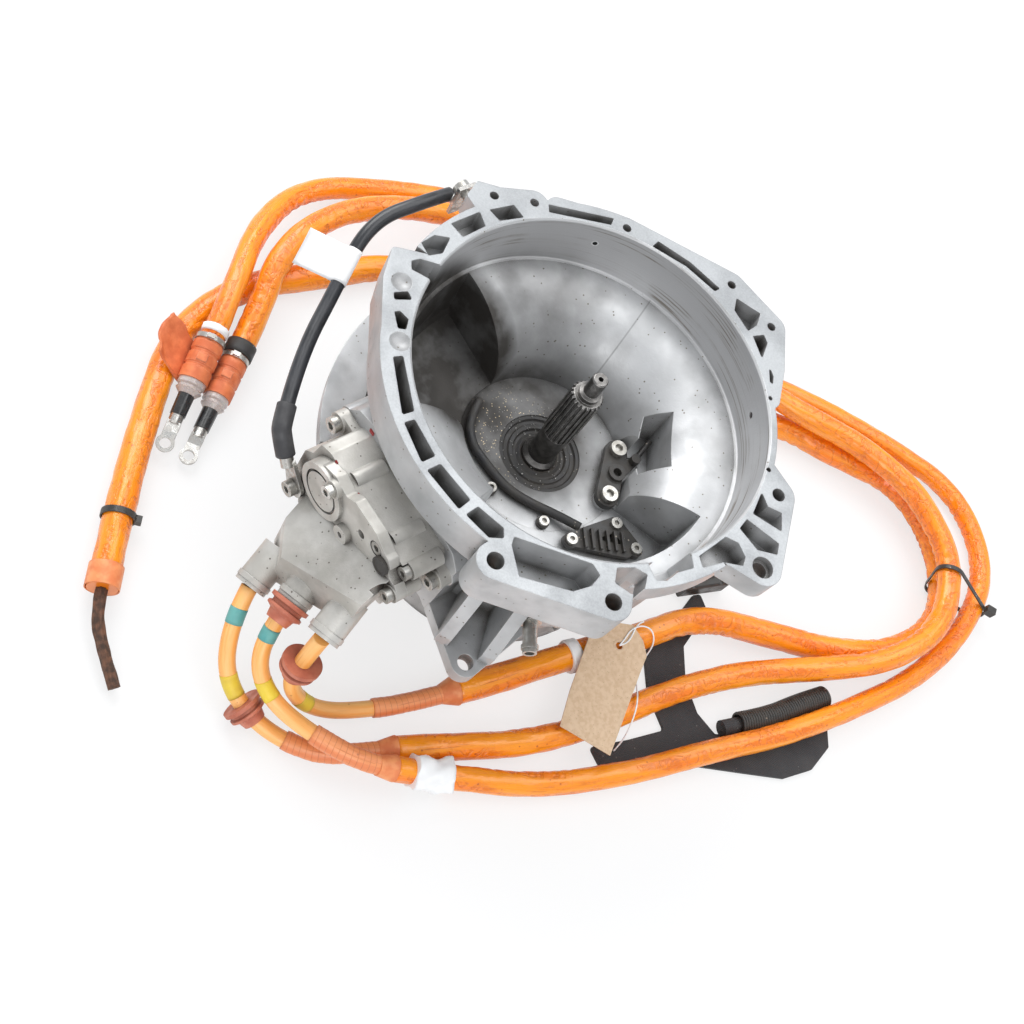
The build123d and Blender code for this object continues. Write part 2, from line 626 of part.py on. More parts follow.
def terminal_lid():
    body = wall_slab(LID, LID_Y, BOX_Y, 3)
    x, z = CAP
    body += rod((x, LID_Y - 3, z), (x, BOX_Y, z), 22)
    body -= rod((x, LID_Y - 4, z), (x, LID_Y - 1, z), 17) - rod((x, LID_Y - 4, z), (x, LID_Y - 1, z), 15)
    for x, z, y in LID_BOLTS:
        if y < LID_Y:
            body += rod((x, y, z), (x, BOX_Y, z), 7)
        else:
            body -= rod((x, LID_Y - 1, z), (x, min(y, BOX_Y + 1), z), COUNTERBORE_R)
    for x, z, y in LID_BOLTS:
        body -= rod((x, LID_Y - 5, z), (x, BOX_Y + 1, z), 2.5)
    body += rod((LUG_SEAT[0], LID_Y - 1, LUG_SEAT[1]), (LUG_SEAT[0], BOX_Y, LUG_SEAT[1]), 7)
    body -= rod((LUG_SEAT[0], LID_Y - 2, LUG_SEAT[1]), (LUG_SEAT[0], BOX_Y + 1, LUG_SEAT[1]), 3)
    body -= rod((6, LID_Y - 1, 158), (6, LID_Y + 4, 158), 3.5)
    return body


def hex_socket_bolt(x, z, y_face, head_r, shank_r, length):
    head = rod((x, y_face - head_r, z), (x, y_face, z), head_r)
    shank = rod((x, y_face - 1, z), (x, y_face + length, z), shank_r)
    key = Plane((x, y_face - head_r, z), z_dir=(0, 1, 0)) * extrude(RegularPolygon(head_r * 0.55, 6), head_r * 0.6)
    return head + shank - key


def lid_bolts():
    bolts = []
    for x, z, y in LID_BOLTS:
        bolts.append(hex_socket_bolt(x, z, y, 5.2, 2.5, BOX_Y + 9 - y))
    return Compound(children=bolts)


def box_bolts():
    bolts = []
    for x, z in FOOT_BOLTS:
        bolts.append(hex_socket_bolt(x, z, PAD_Y - 9, 6, 3, 23))
    return Compound(children=bolts)


def vent_plug():
    x, z = PLUG
    body = rod((x, LID_Y - 3, z), (x, LID_Y, z), PLUG_CAP_R)
    body -= rod((x, LID_Y - 4, z), (x, LID_Y - 2.4, z), PLUG_CAP_R - 1.4)
    return body


def roof_z(x, y):
    return ROOF_Z + ROOF_SLOPE_X * x + ROOF_SLOPE_Y * (y - LID_Y)


def outlet_housing():
    """Sloping wedge under the cover with three round necks for the cables."""
    plan = [(-50, BOX_Y), (41, BOX_Y), (46, -205), (13, -213), (-17, -220), (-41, -202)]
    roof = [(x, y, roof_z(x, y)) for x, y in plan]
    body = extrude(make_face(Polyline(*roof, close=True)), ROOF_T, dir=(0, 0, -1))
    for end in NECK_ENDS:
        body += rod(along(end, NECK_DIR, -34), end, NECK_OD_R)
        body += rod(along(end, NECK_DIR, -7), along(end, NECK_DIR, -3), NECK_OD_R + 0.8)
    body -= block(-80, 80, BOX_Y, BOX_Y + 60, 40, 200)
    body -= wall_slab(LID, LID_Y, BOX_Y, 3)
    for x, z in (SIDE_BOLT, LUG_SEAT):
        body -= rod((x, LID_Y - 12, z), (x, BOX_Y, z), 9)
    body += rod((-5, LID_Y - 5, 139), (-5, LID_Y, 139), 7) - rod((-5, LID_Y - 6, 139), (-5, LID_Y, 139), 2.4)
    return body


def busbars():
    """Three copper bars on the insulating block inside the box."""
    bars = []
    for x in (-40, -8, 24):
        bar = block(x - 7, x + 7, -160, -157, 120, 150)
        bar -= rod((x, -161, 144), (x, -156, 144), 3.5)
        bars.append(bar)
    return Compound(children=bars)


def terminal_block():
    body = block(-54, 38, -157, PAD_Y - BOX_WALL, 116, 152)
    for x in (-40, -8, 24):
        body -= rod((x, -158, 144), (x, -150, 144), 3.5)
    for x in (-24, 8):
        body += block(x - 1.5, x + 1.5, -166, -156, 118, 150)
    return body


# Cables

def tube_along(points, d, label):
    """Round cord of straight runs joined by tangent arcs."""
    radii = []
    for a, b, c in zip(points, points[1:], points[2:]):
        u = Vector(*b) - Vector(*a)
        v = Vector(*c) - Vector(*b)
        turn = radians(u.get_angle(v))
        radii.append(round(0.45 * min(u.length, v.length) / tan(turn / 2), 2))
    path = FilletPolyline(*points, radius=radii)
    start = Plane(path @ 0, z_dir=path % 0)
    body = sweep(start * Circle(d / 2), path=path)
    print(label, "length", round(path.length), "smallest radius", min(radii), "volume ratio",
          round(body.volume / (path.length * pi * d * d / 4), 4))
    return body


CORE_ROUTES = [
    [NECK_ENDS[0], (-5, -256, 53), (25, -273, 24), (66, -263, 7), (104, -237, 9), (120, -204.6, 12.6),
     (129, -186, 12)],
    [NECK_ENDS[1], (13, -235, 73), (29, -255, 51), (56, -254, 32), (93, -240, 33), (127.8, -218.6, 33),
     (141, -200, 27)],
    [NECK_ENDS[2], (46, -228, 83), (52, -243, 42), (75, -223, 12), (96, -182, 14), (108, -143, 13),
     (114, -119, 13)],
]
SLEEVE_ROUTES = [
    [(129, -186, 12), (144, -155, 11), (177, -93, 11), (195, -26, 13), (205, 41, 17), (224, 107, 19),
     (257, 171, 25), (288, 234, 36), (292, 305, 38), (251, 365, 37), (180, 381, 38), (115, 359, 37),
     (57, 317, 38), (-6, 289, 31), (-62, 249, 20), (-119, 208, 14), (-180, 177, 12), (-247, 148, 16),
     (-275, 85, 33), (-291, 16, 34), (-270, -52, 41), (-230.9, -95.1, 23.5), (-205.3, -128, 18.5)],
    [(141, -200, 27), (163, -169, 17), (208, -105, 11), (239, -35, 15), (261, 38, 16), (286, 110, 18),
     (303, 188, 17), (315, 270, 12), (309, 347, 12), (276, 421, 12), (198, 452, 10), (126, 415, 10),
     (61, 372, 10), (1, 321, 10), (-60, 272, 10), (-129, 234, 10), (-195, 194, 10), (-270, 160, 11),
     (-307, 94, 10), (-333, 16, 16), (-302, -55, 34), (-248, -111.7, 41.3), (-221.9, -143.2, 32)],
    [(114, -119, 13), (122, -87, 13), (136, -22, 13), (153, 39, 17), (165, 107, 17), (211, 160, 13),
     (255, 209, 13), (288, 269, 13), (286, 338, 13.5), (232, 384, 13.5), (163, 393, 13), (110, 349, 13),
     (54, 313, 13), (18, 255, 13), (-34, 214, 13), (-91, 178, 13), (-147, 141, 13), (-202, 102, 13),
     (-237, 45, 12), (-251, -21, 12), (-266, -86, 12), (-249, -153, 12), (-204, -203, 12),
     (-155, -248, 13.5), (-104, -291, 14), (-78, -312, 14)],
]
GROUND_ROUTE = [(-190, 11, 190), (-189, -12, 194), (-190, -62, 190), (-161, -103, 168), (-128, -150, 156),
                (-96, -180, 150)]


def phase_core(i):
    return tube_along(CORE_ROUTES[i], CORE_D, "core %d" % (i + 1))


def phase_sleeve(i):
    return tube_along(SLEEVE_ROUTES[i], SLEEVE_D[i], "sleeve %d" % (i + 1))


def tape_wraps():
    """Tape that tapers from the bare cable up to the sleeve, with the sleeve's end face closed."""
    wraps = []
    for i, route in enumerate(CORE_ROUTES):
        end = Vector(*route[-1])
        d = (end - Vector(*route[-2])).normalized()
        r = CORE_D / 2
        size = SLEEVE_D[i] / 2
        cone = turned([(r, -14), (r + 1.2, -14), (size, -1), (size, 0), (r, 0)])
        wraps.append(Plane(end, z_dir=d) * cone)
    wraps.append(torn_tape())
    return Compound(children=wraps)


def grommet(origin, direction):
    r = CORE_D / 2
    body = turned([(r, 0), (15, 0), (15, 3), (12, 4), (12, 6), (14, 7), (14, 9), (10, 11), (8.5, 17), (r, 17)])
    return Plane(origin, z_dir=direction) * body


def on_run(route, i, share):
    """Point and direction part of the way along one run of a route."""
    a = Vector(*route[i])
    run = Vector(*route[i + 1]) - a
    return tuple(a + run * share), run


def cable_grommets():
    """One grommet seated on its neck and two that have slid down their cables."""
    first = grommet(*on_run(CORE_ROUTES[0], 2, 0.45))
    second = grommet(NECK_ENDS[1], NECK_DIR) - tube_along(CORE_ROUTES[1], CORE_D, "grommet bore")
    third = grommet(*on_run(CORE_ROUTES[2], 1, 0.3))
    return Compound(children=[first, second, third])


CABLE_ENDS = [SLEEVE_ROUTES[1][-1], SLEEVE_ROUTES[0][-1]]
END_DIRS = [(0.622, -0.751, -0.22), (0.61, -0.784, -0.118)]
PLUG_R = (12, 11.4)     # moulded plug bodies at the two ends
PLUG_L = 40
SEAL_L = 12
SHRINK_L = 18


def end_part(make):
    """A piece drawn along Z from the cable end, made for the plug radius at each end."""
    parts = []
    for end, direction, r in zip(CABLE_ENDS, END_DIRS, PLUG_R):
        parts.append(Plane(end, x_dir=(0.78, 0.63, 0), z_dir=direction) * make(r))
    return Compound(children=parts)


def plug_body(r):
    """Plug with a clamp seat, grip rings and two keying pads."""
    seat = r - 1
    body = turned([(0, 0), (seat, 0), (seat, 6), (r, 7), (r, 14), (seat, 15), (seat, 17), (r, 18), (r, 26),
                   (seat, 27), (seat, 29), (r, 30), (r, PLUG_L), (0, PLUG_L)])
    return body + block(-4, 4, r - 1, r + 0.8, 19, 25)


def band_clamp(r):
    return tube(r, r - 1, 1, 5) + block(-3, 3, r - 0.5, r + 2, 1.2, 4.8)


def plug_seal(r):
    tip = r - 1
    z = PLUG_L
    return turned([(0, z), (tip, z), (tip, z + 4), (tip - 1.5, z + 5), (tip - 1.5, z + 7), (tip - 0.5, z + 8),
                   (tip - 4, z + SEAL_L), (0, z + SEAL_L)])


def shrink_sleeve(r):
    z = PLUG_L + SEAL_L
    return turned([(0, z), (6.5, z), (6.2, z + SHRINK_L), (0, z + SHRINK_L)])


def crimp_lug(r):
    """Round barrel flattened to a palm with one bolt hole."""
    z = PLUG_L + SEAL_L + SHRINK_L
    eye = z + 24
    eye_r = 7.2
    barrel = turned([(0, z), (5.5, z), (5.5, z + 8), (0, z + 8)])
    palm = slab([(-5.5, -1.5), (-5.5, 1.5), (5.5, 1.5), (5.5, -1.5)], z + 7, eye)
    palm += rod((0, -1.5, eye), (0, 1.5, eye), eye_r)
    taper = slab([(-5.5, -4.5), (-5.5, 4.5), (5.5, 4.5), (5.5, -4.5)], z + 6, z + 14)
    wedge = Plane((-8, 0, z + 6), x_dir=(0, 1, 0), z_dir=(1, 0, 0)) * extrude(
        make_face(Polyline((-4.5, 0), (4.5, 0), (1.5, 8), (-1.5, 8), close=True)), 16)
    return barrel + palm + (taper & wedge) - rod((0, -3, eye), (0, 3, eye), 4.3)


def cable_connectors():
    return end_part(plug_body)


def connector_bands():
    return end_part(band_clamp)


def connector_seals():
    return end_part(plug_seal)


def lug_shrinks():
    return end_part(shrink_sleeve)


def cable_lugs():
    return end_part(crimp_lug)


def torn_end():
    """Bare conductor at the cut end, thinner and bent to one side."""
    points = [SLEEVE_ROUTES[2][-1], (-62.4, -324.6, 14), (-38, -332, 12), (-10, -338, 7.5)]
    return tube_along(points, TORN_D, "torn end")


def torn_tape():
    """Tape round the cut end of the longest sleeve."""
    a = Vector(*SLEEVE_ROUTES[2][-2])
    b = Vector(*SLEEVE_ROUTES[2][-1])
    d = (b - a).normalized()
    wrap = Cylinder(SLEEVE_D[2] / 2 + 0.8, 18, align=(Align.CENTER, Align.CENTER, Align.MAX))
    hole = Cylinder(SLEEVE_D[2] / 2, 40)
    return Plane(b, z_dir=d) * (wrap - hole)


def tie_band(route, i, share, d, width=5, thick=1.2):
    """Strap round one cable at a share of the way along one straight run."""
    a = Vector(*route[i])
    b = Vector(*route[i + 1])
    run = b - a
    strap = Cylinder(d / 2 + thick, width) - Cylinder(d / 2, width + 2)
    head = Pos(-d / 2 - 2.5, 0, 0) * Box(5, 6, 6)
    return Plane(a + run * share, x_dir=(run.Y, -run.X, 0), z_dir=run) * (strap + head)


def cable_tie():
    return tie_band(SLEEVE_ROUTES[2], 23, 0.62, SLEEVE_D[2])


TIE_SPOT = (278.9, 365.8, 0)
TIE_ACROSS = (0.855, 0.518, 0)
# Where the three sleeves cross the plane of the tie: distance across, height, radius
TIE_CIRCLES = [(-25.9, 37.4, 11.7), (20.5, 12, 10), (-18.4, 13.5, 12), (-15, 13.5, 12)]


def bundle_tie():
    """Strap round all three cables where they turn back, with its lock at one side."""
    gap = 0.3
    thick = 1.2
    outer = lobe(*[(x, z, r + gap + thick) for x, z, r in TIE_CIRCLES])
    inner = lobe(*[(x, z, r + gap) for x, z, r in TIE_CIRCLES])
    strap = extrude(outer - inner, 2, both=True) + Pos(32, 22, 0) * Box(9, 8, 7)
    strap -= extrude(inner, 5, both=True)
    facing = (TIE_ACROSS[1], -TIE_ACROSS[0], 0)
    return Plane(TIE_SPOT, x_dir=TIE_ACROSS, z_dir=facing) * strap


# Ground cable

def ground_cable():
    return tube_along(GROUND_ROUTE, GROUND_D, "ground cable")


def ground_lugs():
    """Crimp lugs at both ends, the lower one with its shrink sleeve's barrel."""
    top = GROUND_ROUTE[0]
    low = GROUND_ROUTE[-1]
    eye_x, eye_z = LUG_SEAT
    y = LID_Y - 1
    upper = rod(top, (-181, 12, 190), 4) + block(-181, -178, 4, 20, 184, 212)
    upper -= rod((-183, 12, 205), (-176, 12, 205), 4)
    knee = along(low, Vector(*low) - Vector(*GROUND_ROUTE[-2]), 12)
    lower = rod(low, knee, GROUND_D / 2 + 0.6)
    lower += Pos(*knee) * Sphere(5) + rod(knee, (eye_x - 11, y - 4, eye_z + 13), 5)
    lower += wall_lobe([(eye_x, eye_z, 9), (eye_x - 11, eye_z + 13, 6)], y - 3, y)
    lower -= block(-120, 0, y, y + 20, 90, 140) + rod((eye_x, y - 9, eye_z), (eye_x, y + 1, eye_z), 3.2)
    return Compound(children=[upper, lower])


def ground_bolts():
    x, z = LUG_SEAT
    y = LID_Y - 4
    upper = rod((-186, 12, 205), (-181, 12, 205), 6.5) + rod((-182, 12, 205), (-173, 12, 205), 4)
    lower = rod((x, y - 6, z), (x, y, z), 6) + rod((x, y - 1, z), (x, BOX_Y, z), 3)
    lower -= Plane((x, y - 6, z), z_dir=(0, 1, 0)) * extrude(RegularPolygon(3, 6), 3)
    return Compound(children=[upper, lower])


# Parts inside the bell

def sensor_bracket():
    face = lobe((28, 54, 9), (56, 23, 9)) + lobe((44, 41, 6), (42, 60, 4))
    body = Pos(0, 0, BOSS_Z) * extrude(face, 6)
    body += disc(7, BOSS_Z + 5, BOSS_Z + 9, *SENSOR_BUSH)
    body -= disc(3.5, BOSS_Z + 3, BOSS_Z + 10, *SENSOR_BUSH)
    for x, y in SENSOR_BOLTS:
        body -= disc(3, BOSS_Z - 1, BOSS_Z + 7, x, y)
    return body


def sensor_bolts():
    bolts = []
    for x, y in SENSOR_BOLTS:
        bolt = disc(6.5, BOSS_Z + 6, BOSS_Z + 11, x, y) + disc(3, BOSS_Z, BOSS_Z + 7, x, y)
        bolts.append(bolt - disc(3.2, BOSS_Z + 8, BOSS_Z + 12, x, y))
    return Compound(children=bolts)


def sensor_tip():
    return rod((42, 61, BOSS_Z + 9), (35, 80, BOSS_Z + 13), 2.2) + disc(4, BOSS_Z + 6, BOSS_Z + 12, 42, 61)


COMB_SCREWS = [(72, -27), (78, 14), (102, 16)]
CLIP_SPOTS = [(8, -56), (49, -34)]
COMB_Z = 119.5


def comb_connector():
    face = lobe((72, -27, 6), (78, 14, 6)) + lobe((78, 14, 6), (102, 16, 6)) + lobe((72, -27, 5), (100, 8, 5))
    body = Pos(0, 0, COMB_Z) * extrude(face, 5)
    for i in range(6):
        x, y = 76 + 3.4 * i, -17 + 5.2 * i
        body += Pos(x, y, COMB_Z + 6) * Rot(0, 0, -30) * Box(16, 2.2, 5)
    return body


def comb_screws():
    screws = []
    for x, y in COMB_SCREWS:
        screws.append(disc(4.5, COMB_Z + 5, COMB_Z + 8, x, y) - disc(2, COMB_Z + 6, COMB_Z + 9, x, y))
    for x, y in CLIP_SPOTS:
        screws.append(disc(4, HUB_Z + 3, HUB_Z + 6, x, y) - disc(2, HUB_Z + 4, HUB_Z + 7, x, y))
    return Compound(children=screws)


def loom_clips():
    clips = []
    for x, y in CLIP_SPOTS:
        clips.append(disc(5, HUB_Z, HUB_Z + 3, x, y))
    return Compound(children=clips)


LOOM_ROUTE = [(-56, -24, 122), (-48, -38, 119), (-30, -49, 118), (-8, -48, 118), (14, -45, 118), (33, -34, 118),
              (50, -22, 120), (67, -14, 124)]


def bell_loom():
    return tube_along(LOOM_ROUTE, LOOM_D, "bell loom")


# Fittings below the flange

def coolant_nipple():
    d = (0.8, -0.6, 0)
    a = (104, -106, 158)
    body = rod(a, along(a, d, 34), 5)
    body += rod(along(a, d, 28), along(a, d, 31), 6)
    body += rod(along(a, d, 6), along(a, d, 12), 8)
    return body - rod(along(a, d, 10), along(a, d, 40), 3.4)


# Signal harness and tag

HARNESS = [(147.5, 124), (150, 131), (166, 127), (180, 86), (205, 68), (232, 60), (254, 63), (270, 90), (278, 130),
           (283, 168), (300, 166), (318, 152), (324, 124), (316, 96), (294, 67), (264, 28), (222, -44),
           (206, -42), (218, -10), (228, 24), (196, 31), (166, 50), (160, 84)]
CONDUIT = [(253, 68, 7.8), (268.5, 112, 7.8), (274, 145, 7.8), (281, 172, 7.8)]
CONDUIT_RIBS = 7
HARNESS_PLUG = (137.3, 136)
TAG = [(128, 4), (131, 20), (144, 38), (159, 38), (171, 33), (180, 18), (220, -44), (180, -68), (161, -44)]
TAG_EYE = (152, 16)
TAG_TILT = 3.12         # degrees that the tag leans over the lower cable


def signal_harness():
    """Taped flat bundle on the floor and the ribbed conduit that one branch ends in."""
    body = slab(HARNESS, 0, HARNESS_T, 3)
    for a, b in zip(CONDUIT, CONDUIT[1:]):
        body += rod(a, b, CONDUIT_R)
    for knee in CONDUIT[1:-1]:
        body += Pos(*knee) * Sphere(CONDUIT_R)
    a, b = CONDUIT[1:3]
    step = 1 / CONDUIT_RIBS
    for i in range(CONDUIT_RIBS):
        near = Vector(*a) + (Vector(*b) - Vector(*a)) * (i * step)
        far = Vector(*a) + (Vector(*b) - Vector(*a)) * ((i + 0.5) * step)
        body += rod(near, far, CONDUIT_R + 0.6)
    return body


def harness_plug():
    """Plastic plug that the narrow branch ends in."""
    half_l, half_w, height = 22, 13, 20
    body = block(-half_l, half_l, -half_w, half_w, 0, height)
    body = fillet(body.edges().filter_by(Axis.X), 3)
    body += block(-8, 8, -5, 5, height - 1, height + 3)
    for x in (-16, 12):
        body -= block(x, x + 3, -half_w - 1, half_w + 1, height - 1.2, height + 5)
    return Pos(*HARNESS_PLUG, 0) * Rot(0, 0, 70) * body


def paper_tag():
    face = make_face(Polyline(*TAG, close=True)) - Pos(*TAG_EYE) * Circle(3)
    card = Pos(-140, 0, 0) * extrude(face, 1)
    return Pos(140, 0, 30) * Rot(0, TAG_TILT, 0) * card


def save(name, shape):
    solids = shape.solids()
    if len(solids) == 1:
        shape = solids[0]
    elif not isinstance(shape, Compound):
        shape = Compound(children=list(solids))
    shape.label = name
    export_step(shape, "parts/" + name + ".step")


def main():
    up_bolts, down_bolts = case_bolts()
    nodes = {
        "bell_housing": finished_bell(),
        "motor_case": motor_case(),
        "rear_cover": rear_cover(),
        "case_bolts": up_bolts,
        "rear_cover_bolts": down_bolts,
        "stator_core": stator_core(),
        "phase_windings": phase_windings(),
        "rotor_core": rotor_core(),
        "rotor_magnets": rotor_magnets(),
        "rotor_end_plates": rotor_end_plates(),
        "rotor_shaft": rotor_shaft(),
        "front_bearing_outer": outer_race(FRONT_BEARING),
        "front_bearing_inner": inner_race(FRONT_BEARING),
        "front_bearing_balls": ball_set(FRONT_BEARING),
        "front_bearing_cage": ball_cage(FRONT_BEARING),
        "rear_bearing_outer": outer_race(REAR_BEARING),
        "rear_bearing_inner": inner_race(REAR_BEARING),
        "rear_bearing_balls": ball_set(REAR_BEARING),
        "rear_bearing_cage": ball_cage(REAR_BEARING),
        "shaft_seal": shaft_seal(),
        "resolver_rotor": resolver_rotor(),
        "resolver_stator": resolver_stator(),
        "terminal_box": terminal_box(),
        "terminal_lid": terminal_lid(),
        "lid_bolts": lid_bolts(),
        "box_bolts": box_bolts(),
        "vent_plug": vent_plug(),
        "outlet_housing": outlet_housing(),
        "busbars": busbars(),
        "terminal_block": terminal_block(),
        "cable_grommets": cable_grommets(),
        "tape_wraps": tape_wraps(),
        "cable_connectors": cable_connectors(),
        "connector_bands": connector_bands(),
        "connector_seals": connector_seals(),
        "lug_shrinks": lug_shrinks(),
        "cable_lugs": cable_lugs(),
        "torn_end": torn_end(),
        "cable_tie": cable_tie(),
        "bundle_tie": bundle_tie(),
        "ground_cable": ground_cable(),
        "ground_lugs": ground_lugs(),
        "ground_bolts": ground_bolts(),
        "sensor_bracket": sensor_bracket(),
        "sensor_bolts": sensor_bolts(),
        "sensor_tip": sensor_tip(),
        "comb_connector": comb_connector(),
        "comb_screws": comb_screws(),
        "loom_clips": loom_clips(),
        "bell_loom": bell_loom(),
        "coolant_nipple": coolant_nipple(),
        "signal_harness": signal_harness(),
        "harness_plug": harness_plug(),
        "paper_tag": paper_tag(),
    }
    for i in range(3):
        nodes["phase_cable_%d" % (i + 1)] = phase_core(i)
        nodes["cable_sleeve_%d" % (i + 1)] = phase_sleeve(i)
    for name, shape in nodes.items():
        save(name, shape)
        box = shape.bounding_box()
        print(name, len(shape.solids()), "solid(s)", [round(v, 1) for v in (*box.min, *box.max)])


main()
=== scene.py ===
# %% [markdown]
# # Dressing an electric car motor
# The solids come in packed, each in its own place, and keep those places. This script gives them
# the finishes of a used motor: cast and machined aluminium, oily steel, glossy orange sleeves,
# wound tape, card and paper. It starts with the camera and the cables, because the cables are free
# to lie where they like and have to lie where the photograph shows them.

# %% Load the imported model
import math
from itertools import accumulate

import bmesh
import bpy
from mathutils import Matrix, Vector, noise


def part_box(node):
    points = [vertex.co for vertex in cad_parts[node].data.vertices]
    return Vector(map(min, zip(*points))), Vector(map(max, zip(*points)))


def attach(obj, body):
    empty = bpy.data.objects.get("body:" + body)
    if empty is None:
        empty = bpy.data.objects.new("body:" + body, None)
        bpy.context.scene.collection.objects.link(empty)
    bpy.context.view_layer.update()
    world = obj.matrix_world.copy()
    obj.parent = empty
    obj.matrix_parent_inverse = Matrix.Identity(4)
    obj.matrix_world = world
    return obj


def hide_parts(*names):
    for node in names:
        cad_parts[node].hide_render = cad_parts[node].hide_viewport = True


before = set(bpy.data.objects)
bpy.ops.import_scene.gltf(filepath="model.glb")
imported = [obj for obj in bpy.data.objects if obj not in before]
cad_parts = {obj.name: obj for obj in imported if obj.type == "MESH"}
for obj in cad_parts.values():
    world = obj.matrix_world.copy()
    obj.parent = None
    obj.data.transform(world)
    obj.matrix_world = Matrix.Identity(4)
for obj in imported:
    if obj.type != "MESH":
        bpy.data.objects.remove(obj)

MM = 0.001
TURN = 2 * math.pi
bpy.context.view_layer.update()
scene = bpy.context.scene
scene.view_settings.view_transform = "Standard"

# %% [markdown]
# ## Camera
# The photograph looks down on the motor from the terminal-box side, with the camera turned on its
# own axis. Three angles and a place give that view, and the matrix is built from them directly,
# so that the turn about the line of sight is exact.

# %% Camera
AZIMUTH, ELEVATION, ROLL = (math.radians(degrees) for degrees in (18.4, 57.35, 40.96))
CAMERA_PLACE = Vector((0.1949, -0.5431, 0.9251))
SENSOR = 36
FOCAL = 1300 / 1024 * SENSOR

back = Vector((math.sin(AZIMUTH) * math.cos(ELEVATION),
               -math.cos(AZIMUTH) * math.cos(ELEVATION),
               math.sin(ELEVATION)))
level = Vector((math.cos(AZIMUTH), math.sin(AZIMUTH), 0))
upright = back.cross(level)
right = level * math.cos(ROLL) + upright * math.sin(ROLL)
up = upright * math.cos(ROLL) - level * math.sin(ROLL)
camera = bpy.data.objects.new("camera", bpy.data.cameras.new("camera"))
camera.data.sensor_width = SENSOR
camera.data.lens = FOCAL
camera.data.clip_end = 50
camera.matrix_world = Matrix.Translation(CAMERA_PLACE) @ Matrix((right, up, back)).transposed().to_4x4()
scene.collection.objects.link(camera)
scene.camera = camera
print("camera lens", round(FOCAL, 2), "mm")

# %% [markdown]
# ## Routes of the cables
# A cable is a fixed length of something springy, so its middle line is one smooth NURBS curve
# through a few listed points. Three thin cores leave the outlet, each runs into a wide sleeve,
# and the sleeves go once round the motor. Two end in plugs and one has been cut off.

# %% Routes, in millimetres
CORE_D = 12.4
SLEEVE_D = (22, 20, 24)
TORN_D = 10
GROUND_D = 10.5
LOOM_D = 7
CORE_ROUTES = [
    [(-18, -236, 67), (-5, -256, 53), (25, -273, 24), (66, -263, 7), (104, -237, 9),
     (120, -204.6, 12.6), (129, -186, 12)],
    [(10, -223, 87), (13, -235, 73), (29, -255, 51), (56, -254, 32), (93, -240, 33),
     (127.8, -218.6, 33), (141, -200, 27)],
    [(45, -223, 101), (46, -228, 83), (52, -243, 42), (75, -223, 12), (96, -182, 14),
     (108, -143, 13), (114, -119, 13)],
]
SLEEVE_ROUTES = [
    [(129, -186, 12), (144, -155, 11), (177, -93, 11), (195, -26, 13), (205, 41, 17), (224, 107, 19),
     (257, 171, 25), (288, 234, 36), (292, 305, 38), (251, 365, 37), (180, 381, 38), (115, 359, 37),
     (57, 317, 38), (-6, 289, 31), (-62, 249, 20), (-119, 208, 14), (-180, 177, 12), (-247, 148, 16),
     (-275, 85, 33), (-291, 16, 34), (-270, -52, 41), (-230.9, -95.1, 23.5), (-205.3, -128, 18.5)],
    [(141, -200, 27), (163, -169, 17), (208, -105, 11), (239, -35, 15), (261, 38, 16), (286, 110, 18),
     (303, 188, 17), (315, 270, 12), (309, 347, 12), (276, 421, 12), (198, 452, 10), (126, 415, 10),
     (61, 372, 10), (1, 321, 10), (-60, 272, 10), (-129, 234, 10), (-195, 194, 10), (-270, 160, 11),
     (-307, 94, 10), (-333, 16, 16), (-302, -55, 34), (-248, -111.7, 41.3), (-221.9, -143.2, 32)],
    [(114, -119, 13), (122, -87, 13), (136, -22, 13), (153, 39, 17), (165, 107, 17), (211, 160, 13),
     (255, 209, 13), (288, 269, 13), (286, 338, 13.5), (232, 384, 13.5), (163, 393, 13), (110, 349, 13),
     (54, 313, 13), (18, 255, 13), (-34, 214, 13), (-91, 178, 13), (-147, 141, 13), (-202, 102, 13),
     (-237, 45, 12), (-251, -21, 12), (-266, -86, 12), (-249, -153, 12), (-204, -203, 12),
     (-155, -248, 13.5), (-104, -291, 14), (-78, -312, 14)],
]
TORN_ROUTE = [(-78, -312, 14), (-62.4, -324.6, 14), (-38, -332, 12), (-10, -338, 7.5)]
GROUND_ROUTE = [(-190, 11, 190), (-189, -12, 194), (-190, -62, 190), (-161, -103, 168),
                (-128, -150, 156), (-96, -180, 150)]
LOOM_ROUTE = [(-56, -24, 122), (-48, -38, 119), (-30, -49, 118), (-8, -48, 118), (14, -45, 118),
              (33, -34, 118), (50, -22, 120), (67, -14, 124)]


def add(name, data):
    piece = bpy.data.objects.new(name, data)
    scene.collection.objects.link(piece)
    return piece


def mesh_piece(name, mesh):
    """Turns a bmesh into an object and frees it."""
    data = bpy.data.meshes.new(name)
    mesh.to_mesh(data)
    mesh.free()
    return add(name, data)


def spline_curve(name, route, steps, thickness=0):
    """A NURBS curve with the route's points as its control points."""
    data = bpy.data.curves.new(name, "CURVE")
    data.dimensions = "3D"
    spline = data.splines.new("NURBS")
    spline.points.add(len(route) - 1)
    for knot, place in zip(spline.points, route):
        knot.co = (*(Vector(place) * MM), 1)
    spline.order_u = 3
    spline.use_endpoint_u = True
    data.resolution_u = steps
    data.bevel_depth = thickness / 2 * MM
    data.use_fill_caps = True
    return add(name, data)


def read_path(name, route, steps):
    """Points along the route's own spline, in metres."""
    line = spline_curve(name, route, steps)
    mesh = bpy.data.meshes.new_from_object(line)
    points = [v.co.copy() for v in mesh.vertices]
    bpy.data.objects.remove(line)
    return points


def length_of(path):
    return sum((b - a).length for a, b in zip(path, path[1:]))


def distances_along(path):
    return list(accumulate(((b - a).length for a, b in zip(path, path[1:])), initial=0))


